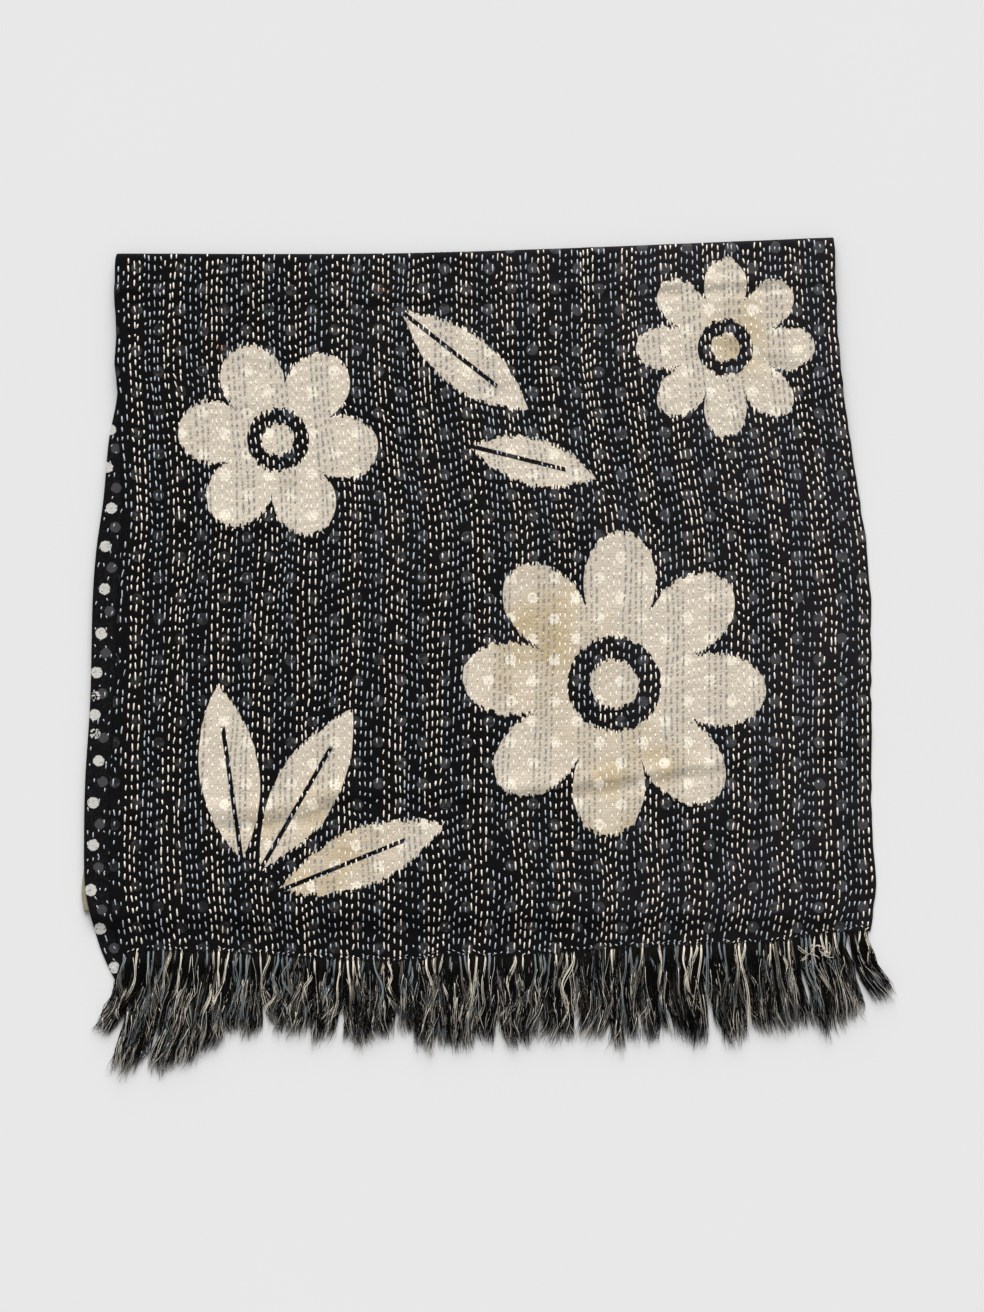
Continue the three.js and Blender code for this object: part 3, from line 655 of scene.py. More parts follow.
def front_stitches(lay, sizes):
    """Every stitch of the front: its row, place along the row, length, lean and width"""
    random = np.random.default_rng(SEED)
    steps = np.linalg.norm(np.diff(front_base(lay).rows[:, 1::2], axis=0), axis=2)
    ends = steps[:FRONT_ROWS - 1 + FOLD_STEPS // 2].sum(axis=0) + PAST_NOSE
    spacing = (sizes.stitch_period_low + sizes.stitch_period_high) / 2
    count = int(ends.max() / spacing) + 3
    periods = np.linspace(sizes.stitch_period_low, sizes.stitch_period_high, count)
    places = np.cumsum(periods) - sizes.stitch_period_low / 2
    drift = STITCH_DRIFT * soft_noise(random, lay.row_count, count, lay.row_count, 16)
    offsets = np.cumsum(random.normal(0, OUT_OF_STEP, lay.row_count))
    columns = []
    for row in range(lay.row_count):
        offset = (offsets[row] + spacing / 2) % spacing - spacing / 2
        along = places + drift[row] + offset + random.normal(0, STITCH_PLACE, count)
        size = sizes.stitch_length * (1 + LENGTH_VARIES * random.normal(size=count))
        size = np.clip(size, SHORTEST_STITCH, LONGEST_STITCH)
        lean = random.normal(0, STITCH_LEAN, count)
        width = sizes.stitch_width * (1 + WIDTH_VARIES * random.normal(size=count))
        if not is_cream(row):
            size *= BLUE_LENGTH
            width *= BLUE_WIDTH
        keep = random.random(count) > (WORN_OFF_EDGE if row < EDGE_BLUE_ROWS else WORN_OFF)
        keep &= along > FIRST_STITCH
        keep &= along + size / 2 < ends[row]
        columns.append(np.stack([np.full(count, row), along, size, lean, width], 1)[keep])
    columns.append(hem_stitches(random, lay, sizes))
    return one_table(columns)


EDGE_WAVE = 0.55 * MM

CREST_RISE = 0.1 * MM

# Cream thread hides most of the painted shade in its grooves
CREAM_ROW_SHADE = 0.4


def sideways_shift(random, rows, row_count):
    """How far the front's points stray sideways; every second column is a row of stitches"""
    columns = 2 * row_count + 1

    # Rows of stitches wander, and the crests between them follow half as far
    wander = 0.5 * MM * soft_noise(random, rows, row_count, 22, row_count)
    wander += 0.9 * MM * soft_noise(random, rows, row_count, 9, 30)
    wander[:, :2] = 0
    wander[:, -2:] = 0
    shift = np.zeros((rows, columns))
    shift[:, 1::2] = wander
    shift[:, 2:-1:2] = (wander[:, :-1] + wander[:, 1:]) / 2

    # Both side edges wave a little, and the rows next to them go along
    from_edge = np.arange(columns)[None, :] / 10
    for fade in (np.clip(1 - from_edge, 0, 1), np.clip(1 - from_edge[:, ::-1], 0, 1)):
        wave = soft_noise(random, rows, 1, 22, 1) + 0.5 * soft_noise(random, rows, 1, 60, 1)
        shift += EDGE_WAVE * wave * fade
    return shift


def drawn_in(points, sizes, stitches, row_count):
    """How far stitches draw the cloth in, and how much painted shade the pale cloth gets in their grooves.
    A stitch pulls its row down; between two stitches the cloth swells up again."""
    rows, columns = points.shape[:2]
    step = np.linalg.norm(np.diff(points, axis=0), axis=2)
    along = np.concatenate([np.zeros((1, columns)), np.cumsum(step, axis=0)])
    pulled = np.zeros((rows, row_count))
    groove = np.zeros((rows, columns))
    for row in range(row_count):
        mine = stitches.column == row
        column = 2 * row + 1
        length = stitches.length[mine][None, :]
        apart = np.abs(along[:, column, None] - stitches.along[mine][None, :])
        pulled[:, row] = (apart < length * 0.55).any(axis=1)
        from_end = np.abs(apart - length / 2).min(axis=1)
        painted_row_shade = CREAM_ROW_SHADE if is_cream(row) else 1
        groove[:, column] = painted_row_shade * (1 - 0.75 * smoothstep(from_end, 0.6 * MM, 1.6 * MM))
    depth = np.zeros((rows, columns))
    depth[:, 1::2] = -sizes.row_depth * (0.45 + 0.75 * pulled)
    swelling = 1 - (pulled[:, :-1] + pulled[:, 1:]) / 2
    depth[:, 2:-1:2] = CREST_RISE + 0.16 * MM * swelling
    return depth, groove


def quilted_front(lay, sizes, stitches):
    """The front's outer face with its rows of stitches drawn in, its creases and its unevenness"""
    random = np.random.default_rng(SEED + 1)
    surface = front_base(lay)
    rows, columns = surface.rows.shape[:2]
    surface.rows[..., 0] += sideways_shift(random, rows, lay.row_count)
    depth, surface.groove = drawn_in(surface.rows, sizes, stitches, lay.row_count)

    x = surface.rows[..., 0]
    y = surface.rows[..., 1]
    soft = sum(fading_crease(crease, x, y) for crease in SOFT_CREASES)
    soft += 0.22 * MM * soft_noise(random, rows, columns, 30, 36)
    soft += 0.28 * MM * soft_noise(random, rows, columns, 12, 13)

    # The side edges and the hem stay level
    border = np.minimum(np.arange(columns), np.arange(columns)[::-1]) / 8
    hem = np.arange(rows)[:, None] / 8
    surface.raise_top(depth + soft * np.clip(np.minimum(border[None, :], hem), 0, 1))
    return surface


def ring_quads(rings, sides):
    """Faces between rings of points that follow each other"""
    quads = []
    for ring in range(rings - 1):
        for k in range(sides):
            here = ring * sides + k
            after = ring * sides + (k + 1) % sides
            quads.append((here, after, after + sides, here + sides))
    return quads


def for_each(faces, count, size):
    """The faces of one small form, repeated for all the forms, which have size points each"""
    first = (np.arange(count) * size)[:, None, None]
    return (np.array(faces)[None] + first).reshape(-1, len(faces[0]))


def stitch_mesh(name, surface, column_of_row, stitches):
    """Soft arched stitches on a surface: four-sided threads that dive into the cloth at both ends"""
    shares = np.array([-0.5, -0.34, 0.0, 0.34, 0.5])
    heights = np.array([-0.3, 0.12, 0.3, 0.12, -0.3]) * MM
    fullness = np.array([0.0, 0.8, 1.0, 0.8, 0.0])
    middles = []
    normals = []
    halves = []
    for row in np.unique(stitches.column):
        column = column_of_row[row]
        line = surface.rows[:, column]
        up = surface.normals[:, column]
        along = np.concatenate([[0], np.cumsum(np.linalg.norm(np.diff(line, axis=0), axis=1))])
        mine = stitches.column == row
        at = stitches.along[mine][:, None] + stitches.length[mine][:, None] * shares
        middle = np.stack([np.interp(at, along, line[:, k]) for k in range(3)], 2)
        normal = np.stack([np.interp(at, along, up[:, k]) for k in range(3)], 2)
        middle[..., 0] += stitches.lean[mine][:, None] * shares * 2
        middle += normal * heights[None, :, None]
        middles.append(middle)
        normals.append(normal)
        halves.append(stitches.width[mine][:, None, None] / 2 * fullness[:, None])
    middle = np.concatenate(middles)
    side = np.concatenate(halves) * np.array([1.0, 0.0, 0.0])
    thick = 0.42 * np.concatenate(halves) * np.concatenate(normals)
    ring = [middle - side, middle - thick, middle + side, middle + thick]
    rings = np.stack(ring, 2)[:, 1:-1]
    count = len(rings)
    points = np.concatenate([rings.reshape(count, 12, 3), middle[:, :1], middle[:, -1:]], 1)
    tips = [(12, (k + 1) % 4, k) for k in range(4)]
    tips += [(13, 8 + k, 8 + (k + 1) % 4) for k in range(4)]
    return new_mesh(name, points.reshape(-1, 3), for_each(ring_quads(3, 4), count, 14),
                    for_each(tips, count, 14))


def reverse_stitches(random, surface, sizes):
    """Short stitches that come through to the reverse, with long gaps"""
    columns = []
    length = surface.rows[SECOND_ROWS - 1, 0, 1] - surface.rows[0, 0, 1]
    for row in range(STRIP_ROWS):
        count = int(length / (10 * MM))
        along = (np.arange(count) + 0.5 + 0.3 * random.normal(size=count)) * length / count
        size = np.clip(random.normal(3.0 * MM, 0.8 * MM, count), 1.5 * MM, 5 * MM)
        keep = random.random(count) > 0.35
        lean = random.normal(0, 0.4 * MM, count)
        width = np.full(count, sizes.stitch_width * 0.8)
        columns.append(np.stack([np.full(count, row), along, size, lean, width], 1)[keep])
    return one_table(columns)


# Meshes and pieces

def new_mesh(name, points, quads, triangles):
    """A Blender mesh from arrays of points and faces"""
    mesh = bpy.data.meshes.new(name)
    quads = np.asarray(quads, np.int32).reshape(-1, 4)
    triangles = np.asarray(triangles, np.int32).reshape(-1, 3)
    mesh.vertices.add(len(points))
    mesh.vertices.foreach_set("co", np.asarray(points, np.float32).ravel())
    corners = np.concatenate([quads.ravel(), triangles.ravel()])
    mesh.loops.add(len(corners))
    mesh.loops.foreach_set("vertex_index", corners)
    starts = np.concatenate([np.arange(len(quads)) * 4, len(quads) * 4 + np.arange(len(triangles)) * 3])
    mesh.polygons.add(len(starts))
    mesh.polygons.foreach_set("loop_start", starts.astype(np.int32))
    mesh.update(calc_edges=True)
    if mesh.validate():
        raise RuntimeError(f"{name}: the mesh had faces that are not valid")
    mesh.shade_smooth()
    return mesh


def add_attribute(mesh, label, values):
    """Adds a value for each point of a mesh, which its material reads"""
    mesh.attributes.new(label, "FLOAT", "POINT").data.foreach_set("value", values.astype(np.float32))


def add_piece(mesh, material, nodes=()):
    """Adds a mesh to the scene as a piece of the scarf, which has one body"""
    mesh.materials.append(material)
    piece = bpy.data.objects.new(mesh.name, mesh)
    bpy.context.scene.collection.objects.link(piece)
    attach(piece, "root")
    if nodes:
        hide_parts(*nodes)
    return piece


# Rows and columns that a sheet's inside keeps: every third near its start, every twelfth further on
CLOSE_STEP = 3
WIDE_STEP = 12
CLOSE_ROWS = 40
CLOSE_COLUMNS = 12


class ClosedSheet:
    """Closes a surface into a sheet of cloth with rounded edges and a plain, coarser inside"""

    def __init__(self, surface, plain, thickness):
        self.points = [surface.rows.reshape(-1, 3)]
        self.count = len(self.points[0])
        self.quads = []
        self.triangles = []
        rows, columns = surface.rows.shape[:2]
        ids = np.arange(rows * columns).reshape(rows, columns)
        self.grid(ids)
        border = np.concatenate([ids[0], ids[1:, -1], ids[-1, -2::-1], ids[-2:0:-1, 0]])
        rim = self.rounded_rim(surface, border, thickness)
        down = self.thinned(rows, CLOSE_ROWS)
        across = self.thinned(columns, CLOSE_COLUMNS)
        inside = plain.rows - plain.normals * thickness
        coarse = self.add(inside[np.ix_(down, across)])
        self.grid(coarse)
        corners = (0, columns - 1, columns + rows - 2, 2 * columns + rows - 3, len(border))
        rim = np.append(rim, rim[0])
        borders = (coarse[0], coarse[:, -1], coarse[-1, ::-1], coarse[::-1, 0])
        for start, end, edge in zip(corners, corners[1:], borders):
            self.bridge(rim[start:end + 1], edge)

    @staticmethod
    def thinned(count, close_until):
        """Rows kept on the inside: close together at both ends, wide apart between them"""
        close = list(range(2, min(close_until, count - 3), CLOSE_STEP))
        wide = list(range(close[-1] + WIDE_STEP, count - 12, WIDE_STEP))
        return np.array(close + wide + list(range(count - 10, count - 1, 2)))

    def add(self, points):
        shape = points.shape[:-1]
        flat = points.reshape(-1, 3)
        ids = np.arange(len(flat)).reshape(shape) + self.count
        self.points.append(flat)
        self.count += len(flat)
        return ids

    def grid(self, ids):
        quads = np.stack([ids[:-1, :-1], ids[:-1, 1:], ids[1:, 1:], ids[1:, :-1]], 2)
        self.quads.append(quads.reshape(-1, 4))

    def rounded_rim(self, surface, border, thickness):
        """Rings round the border that curl half round from the outer face to the inside"""
        outward = np.zeros_like(surface.rows)
        outward[:, 0, 0] -= 1
        outward[:, -1, 0] += 1
        outward[0, :, 1] += np.sign(surface.rows[0, :, 1] - surface.rows[1, :, 1])
        outward[-1, :, 1] += np.sign(surface.rows[-1, :, 1] - surface.rows[-2, :, 1])
        place = surface.rows.reshape(-1, 3)[border]
        normal = surface.normals.reshape(-1, 3)[border]
        away = outward.reshape(-1, 3)[border]
        away /= np.linalg.norm(away, axis=1, keepdims=True)
        half = thickness / 2
        last = border
        for angle in np.radians([45, 0, -45, -90]):
            ring = place - normal * half * (1 - math.sin(angle)) + away * half * math.cos(angle)
            ids = self.add(ring)
            self.quads.append(np.stack([last, np.roll(last, -1), np.roll(ids, -1), ids], 1))
            last = ids
        return last

    def bridge(self, fine, coarse):
        """Triangles between two rows of points that run side by side with different counts"""
        i = 0
        k = 0
        while i < len(fine) - 1 or k < len(coarse) - 1:
            step_fine = (i + 1) * (len(coarse) - 1) <= (k + 1) * (len(fine) - 1)
            if k == len(coarse) - 1 or (step_fine and i < len(fine) - 1):
                self.triangles.append((fine[i], fine[i + 1], coarse[k]))
                i += 1
            else:
                self.triangles.append((fine[i], coarse[k + 1], coarse[k]))
                k += 1

    def mesh(self, name):
        points = np.concatenate(self.points)
        points[:, 2] = np.maximum(points[:, 2], 0)
        made = new_mesh(name, points, np.concatenate(self.quads), self.triangles)
        work = bmesh.new()
        work.from_mesh(made)
        bmesh.ops.recalc_face_normals(work, faces=work.faces)
        work.to_mesh(made)
        work.free()
        return made


# Fringe strands

LOWEST_STRAND = 0.45 * MM
YARN_STEPS = 6
TAIL_STEPS = 15
FIBRE_WIDTH = 0.44 * MM
STRAY_RADIUS = 0.2 * MM

# A thread tail opens into this many plies
PLIES = 5
PLY_SPACING = 0.25 * MM


def strand_mesh(name, paths, radii, tones):
    """Three-sided strands with a tip, and attributes for the place along a strand and its tone"""
    count, steps = paths.shape[:2]
    along = np.gradient(paths, axis=1)
    along /= np.linalg.norm(along, axis=2, keepdims=True) + 1e-12
    side = np.stack([-along[..., 1], along[..., 0], np.zeros((count, steps))], 2)
    side /= np.linalg.norm(side, axis=2, keepdims=True) + 1e-12
    up = np.cross(along, side)
    rings = []
    for k in range(3):
        angle = math.pi / 2 + k * 2 * math.pi / 3
        offset = side * math.cos(angle) + up * math.sin(angle)
        rings.append(paths[:, :-1] + offset[:, :-1] * radii[:, :-1, None])
    rings = np.stack(rings, 2).reshape(count, -1, 3)
    points = np.concatenate([rings, paths[:, -1:]], 1)
    size = points.shape[1]
    end = 3 * (steps - 2)
    ends = [(0, 2, 1)] + [(end + k, end + (k + 1) % 3, size - 1) for k in range(3)]
    mesh = new_mesh(name, points.reshape(-1, 3), for_each(ring_quads(steps - 1, 3), count, size),
                    for_each(ends, count, size))
    share = np.append(np.repeat(np.arange(steps - 1), 3), steps - 1) / (steps - 1)
    add_attribute(mesh, "along", np.tile(share, count))
    add_attribute(mesh, "tone", np.repeat(tones, size))
    return mesh


class Fringe:
    """Loose yarns below one hem, which gather into locks and part into tufts at their tips"""

    def __init__(self, lay, sizes, sides, hem, tips, level, rest, crowding, seed):
        self.lay = lay
        self.sizes = sizes
        self.sides = sides
        self.hem = hem
        self.tips = tips
        self.level = level
        self.rest = rest
        self.crowding = crowding
        self.random = np.random.default_rng(seed)
        random = self.random
        width = LAY_RIGHT - LAY_LEFT
        count = round(width / sizes.tuft_width)
        edges = np.linspace(0, 1, count + 1)
        edges[1:-1] += random.uniform(-0.3, 0.3, count - 1) / count
        self.tuft_edges = edges
        self.tuft_shift = random.normal(0, 2.2 * MM, count)
        self.tuft_drop = random.normal(0, 2.6 * MM, count)
        self.tuft_wave = random.normal(0, 2.0 * MM, count)
        self.tuft_keep = random.uniform(0.5, 1.0, count)
        self.tuft_phase = random.uniform(0, 2 * math.pi, count)
        count = round(width / sizes.lock_width)
        self.lock_count = count
        self.lock_shift = random.normal(0, 1.3 * MM, count)
        self.lock_drop = random.normal(0, 2.6 * MM, count)
        self.lock_wave = random.normal(0, 1.1 * MM, count)
        self.lock_phase = random.uniform(0, 2 * math.pi, count)
        self.lock_twist = random.uniform(-2.2, 2.2, count) * math.pi
        self.lock_height = random.uniform(-0.6, 0.6, count) * MM
        self.lock_tone = random.random(count)

    def roots(self, share):
        """Places on the hem at shares of its width"""
        share = share * (1 - self.crowding * (1 - share))
        return crossing(self.sides, lambda x: across_at(self.hem, x), share, self.lay.cloth / 2)

    def lock_at(self, share):
        return np.clip((share * self.lock_count).astype(int), 0, self.lock_count - 1)

    def tones(self, share):
        """Lightness of strands from 0 to 1, partly shared by all the strands of a lock"""
        return 0.3 * self.lock_tone[self.lock_at(share)] + 0.7 * self.random.random(len(share))

    def paths(self, share, steps, start, reach, frizz, spread):
        """Strands rooted at shares of the hem, which run from a share of their length to reach.
        The first ones come out of the cloth's face a little above the hem."""
        random = self.random
        count = len(share)
        lock = self.lock_at(share)
        centre = (lock + 0.5) / self.lock_count
        tuft = np.clip(np.searchsorted(self.tuft_edges, centre) - 1, 0, len(self.tuft_shift) - 1)
        middle = (self.tuft_edges[tuft] + self.tuft_edges[tuft + 1]) / 2
        root_x, root_y = self.roots(share)
        centre_x, _ = self.roots(centre)
        middle_x, _ = self.roots(middle)
        tip_x = middle_x + (centre_x - middle_x) * self.tuft_keep[tuft] + self.tuft_shift[tuft]
        tip_x += self.lock_shift[lock] + read(self.tips, "x", "lean", centre_x)
        tip_y = read(self.tips, "x", "y", tip_x) + self.tuft_drop[tuft] + self.lock_drop[lock]
        tip_y += 7 * MM * (np.abs(centre_x - middle_x) / self.sizes.tuft_width) ** 1.5
        u = start[:, None] + (reach - start)[:, None] * np.linspace(0, 1, steps)[None, :]
        x = centre_x[:, None] + (tip_x - centre_x)[:, None] * u * (0.25 + 0.75 * u)
        phase = self.tuft_phase[tuft][:, None]
        x += self.tuft_wave[tuft][:, None] * u * (np.sin(2.2 * math.pi * u + phase) - np.sin(phase))
        ripple = np.sin(4.2 * math.pi * u + self.lock_phase[lock][:, None])
        x += self.lock_wave[lock][:, None] * np.sqrt(u) * ripple

        # The strands of a lock wind round its middle line and splay at the tip
        angle = random.uniform(0, 2 * math.pi, count)[:, None] + self.lock_twist[lock][:, None] * u
        away = spread * np.sqrt(random.random(count))[:, None] * (0.68 + 0.32 * u ** 2.5)
        joined = smoothstep(u, 0, 0.35)
        x += (root_x - centre_x)[:, None] * (1 - joined) + away * np.cos(angle) * joined
        own = random.uniform(0, 2 * math.pi, count)[:, None]
        pace = random.uniform(3, 8, count)[:, None]
        size = random.normal(0, frizz, count)[:, None]
        x += size * np.sqrt(u) * np.sin(pace * u * math.pi + own)
        above = random.uniform(-0.5, 3.0, count) * MM
        y = root_y[:, None] + above[:, None] + (tip_y - root_y - above)[:, None] * u
        y += size * 0.6 * u * np.cos(pace * u * math.pi + own)

        base = self.level(root_x, root_y) + self.lay.cloth * random.uniform(0.4, 1.1, count)
        low, high = self.rest
        pile = low + (high - low) * random.random(count)[:, None] * (1 - 0.45 * u)
        pile += (self.lock_height[lock][:, None] + 0.5 * away * np.sin(angle)) * (1 - 0.5 * u)
        z = base[:, None] + (pile - base[:, None]) * joined
        return np.stack([x, y, np.maximum(z, LOWEST_STRAND)], 2)


def tapered(count, steps, width, random):
    """Half widths of strands that thin out to half at the tip"""
    profile = 1 - 0.5 * np.linspace(0, 1, steps) ** 1.5
    return width / 2 * profile[None, :] * (1 + 0.2 * random.normal(size=(count, 1)).clip(-2, 2))


def build_fringe(fringe, name, yarn_count, materials, tails, tangles):
    """Yarns, frayed fibres and thread tails of one fringe, each kind as one piece"""
    random = fringe.random
    sizes = fringe.sizes

    def add_strands(kind, paths, radii, tones, material):
        add_piece(strand_mesh(f"{name}_{kind}", paths, radii, tones), materials[material])

    share = np.sort(random.random(yarn_count))
    reach = 1 - 0.22 * random.random(yarn_count) ** 2
    paths = fringe.paths(share, YARN_STEPS, np.zeros(yarn_count), reach,
                         frizz=0.6 * MM, spread=4.7 * MM)
    radii = tapered(yarn_count, YARN_STEPS, sizes.yarn_width, random)
    add_strands("yarns", paths, radii, fringe.tones(share), "yarn")

    count = sizes.frayed_fibres
    share = random.random(count)
    start = 0.8 * random.random(count) ** 0.9
    reach = np.minimum(start + random.uniform(0.3, 0.8, count), random.uniform(0.95, 1.08, count))
    paths = fringe.paths(share, YARN_STEPS, start, reach, frizz=0.9 * MM, spread=4.9 * MM)
    paths[..., 2] += random.uniform(0, 1.1, (count, 1)) * MM
    radii = tapered(count, YARN_STEPS, FIBRE_WIDTH, random)
    add_strands("fray", paths, radii, fringe.tones(share), "fray")

    for label, rows in tails.items():
        rows = np.array(rows)[random.random(len(rows)) < 0.6]
        count = len(rows)
        share = np.repeat((rows + random.uniform(0.1, 0.9, count)) / fringe.lay.row_count, PLIES)
        reach = np.repeat(random.uniform(0.6, 1.06, count), PLIES) * random.uniform(0.82, 1, len(share))
        paths = tail_paths(fringe, share, reach, count)
        thick = np.repeat(random.uniform(0.75, 1.3, count), PLIES)[:, None]
        radii = tapered(len(share), TAIL_STEPS, sizes.tail_width * 0.34, random) * thick
        tones = np.repeat(random.random(count), PLIES)
        if label == "cream":
            stray = tangled_threads(random, tangles)
            paths = np.concatenate([paths, stray])
            radii = np.concatenate([radii, np.full(stray.shape[:2], STRAY_RADIUS)])
            tones = np.concatenate([tones, random.uniform(0.2, 0.9, len(stray))])
        add_strands(f"{label}_tails", paths, radii, tones, label)


def tail_paths(fringe, share, reach, tail_count):
    """Wavy thread tails that lie on the yarns or dip into them, each of a few plies side by side"""
    random = fringe.random
    paths = fringe.paths(share, TAIL_STEPS, np.zeros(len(share)), reach,
                         frizz=0.04 * MM, spread=0.3 * MM)
    u = np.linspace(0, 1, TAIL_STEPS)[None, :]
    swing = random.normal(0, 3.1 * MM, tail_count)
    phase = random.uniform(0, 2 * math.pi, tail_count)
    pace = random.uniform(1.4, 3.0, tail_count)
    drift = random.normal(0, 5.5 * MM, tail_count)
    lift = random.uniform(-0.3, 1.4, tail_count) * MM
    swing, phase, pace, drift, lift = (
        np.repeat(value, PLIES)[:, None] for value in (swing, phase, pace, drift, lift))
    bend = np.sin(pace * math.pi * u + phase) - np.sin(phase)
    paths[..., 0] += swing * np.sqrt(u) * bend * 0.7 + drift * u ** 2
    ply = np.tile(np.arange(PLIES) - (PLIES - 1) / 2, tail_count)[:, None]
    splay = random.uniform(-1, 4, (len(share), 1))
    paths[..., 0] += ply * PLY_SPACING * (1 + splay * u ** 2)
    root = fringe.level(paths[:, 0, 0], paths[:, 0, 1])[:, None] + fringe.lay.cloth * 0.9 + 0.4 * MM
    high = fringe.rest[1] * (1.05 - 0.45 * u) + lift + 0.5 * MM * np.sin(2 * pace * math.pi * u)
    paths[..., 2] = np.maximum(root + (high - root) * smoothstep(u, 0, 0.3), LOWEST_STRAND)
    paths[:, 0, 1] += 1.5 * MM
    paths[:, 0, 2] -= 0.9 * MM
    return paths


def tangled_threads(random, tangles):
    """Fine stray threads that curl up at a few places on the fringe"""
    u = np.linspace(0, 1, TAIL_STEPS)
    paths = [np.zeros((0, TAIL_STEPS, 3))]
    for tangle in tangles:
        for _ in range(tangle.threads):
            loop_x = tangle.x + tangle.width * random.uniform(-0.7, 0.7)
            loop_y = tangle.y + tangle.height * random.uniform(-0.7, 0.7)
            bend = np.zeros((3, TAIL_STEPS))
            for wave in (0.5, 0.9, 1.6):
                start = random.uniform(0, 2 * math.pi, 3)[:, None]
                size = random.uniform(0.25, 0.75, 3)[:, None] / wave ** 0.5
                bend += size * np.sin(2 * math.pi * wave * u[None, :] + start)
            x = loop_x + tangle.width * 0.36 * bend[0]
            y = loop_y + tangle.height * 0.5 * bend[1]
            z = tangle.z + 0.4 * bend[2]
            paths.append(np.stack([x, y, z], 1)[None] * MM)
    return np.concatenate(paths)


# Materials

# Settings of the two nodes that most patterns need: a soft step for masks and a mix of colours
SOFT_STEP = {"interpolation_type": "SMOOTHSTEP"}
OF_COLOURS = {"data_type": "RGBA"}


def add_node(tree, kind, settings=None, inputs=None):
    """Adds a shader node with its settings; an input takes a value, another node or a socket"""
    node = tree.nodes.new(kind)
    for name, value in (settings or {}).items():
        setattr(node, name, value)
    for key, value in (inputs or {}).items():
        if isinstance(key, int):
            target = node.inputs[key]
        else:
            target = next(s for s in node.inputs if s.enabled and s.name == key)
        if isinstance(value, bpy.types.Node):
            value = next(s for s in value.outputs if s.enabled)
        if isinstance(value, bpy.types.NodeSocket):
            tree.links.new(value, target)
        else:
            target.default_value = value
    return node


def start_material(name):
    """An empty material, its node tree and its place in millimetres"""
    material = bpy.data.materials.new(name)
    material.use_nodes = True
    tree = material.node_tree
    tree.nodes.clear()
    coordinates = add_node(tree, "ShaderNodeTexCoord")
    place = add_node(tree, "ShaderNodeVectorMath", {"operation": "SCALE"},
                     {"Vector": coordinates.outputs["Object"], "Scale": 1 / MM})
    return material, tree, place


def seen_from_above(tree, place):
    """The place with its height left out, for what is drawn across the lay"""
    return add_node(tree, "ShaderNodeVectorMath", {"operation": "MULTIPLY"}, {0: place, 1: (1, 1, 0)})


def finish_material(tree, base, roughness, normal, sheen):
    """The shader of a dull cotton: no gloss, a little sheen from fine fibres"""
    shader = add_node(tree, "ShaderNodeBsdfPrincipled", None, {
        "Base Color": base,
        "Roughness": roughness,
        "IOR": 1.47,
        "Specular IOR Level": 0.08,
        "Sheen Weight": sheen,
        "Sheen Roughness": 0.5,
        "Normal": normal,
    })
    add_node(tree, "ShaderNodeOutputMaterial", None, {"Surface": shader})


def join_masks(tree, masks):
    whole = masks[0]
    for mask in masks[1:]:
        whole = add_node(tree, "ShaderNodeMath", {"operation": "MAXIMUM"}, {0: whole, 1: mask})
    return whole


def dot_mask(tree, place, first, across, down, diameter, worn):
    """Round dots on a grid with one more in each cell's middle, their edges eaten by wear"""
    masks = []
    for half in (0.0, 0.5):
        moved = add_node(tree, "ShaderNodeVectorMath", {"operation": "SUBTRACT"},
                         {0: place, 1: (first.x + half * across, first.y + half * down, 0)})
        nearest = add_node(tree, "ShaderNodeVectorMath", {"operation": "WRAP"},
                           {0: moved, 1: (across / 2, down / 2, 0), 2: (-across / 2, -down / 2, 0)})
        length = add_node(tree, "ShaderNodeVectorMath", {"operation": "LENGTH"}, {0: nearest})
        eaten = add_node(tree, "ShaderNodeMath", {"operation": "MULTIPLY_ADD"},
                         {0: worn, 1: 2.4, 2: length.outputs["Value"]})
        masks.append(add_node(tree, "ShaderNodeMapRange", SOFT_STEP, {
            "Value": eaten, "From Min": diameter / 2 + 1.5, "From Max": diameter / 2 + 0.8}))
    return join_masks(tree, masks)


def spot_mask(tree, place, spots, softness):
    """Soft round spots, such as stains"""
    masks = []
    place = seen_from_above(tree, place)
    for spot in spots:
        away = add_node(tree, "ShaderNodeVectorMath", {"operation": "DISTANCE"},
                        {0: place, 1: (spot.x, spot.y, 0)})
        masks.append(add_node(tree, "ShaderNodeMapRange", SOFT_STEP, {
            "Value": away.outputs["Value"], "From Min": spot.radius,
            "From Max": spot.radius * (1 - softness)}))
    return join_masks(tree, masks)


def worn_away(tree, mask, wear, gone, whole, least=0.0, most=1.0):
    """A mask that fades softly from whole to gone as its wear changes"""
    left = add_node(tree, "ShaderNodeMapRange", SOFT_STEP, {
        "Value": wear, "From Min": gone, "From Max": whole, "To Min": least, "To Max": most})
    return add_node(tree, "ShaderNodeMath", {"operation": "MULTIPLY"}, {0: mask, 1: left})


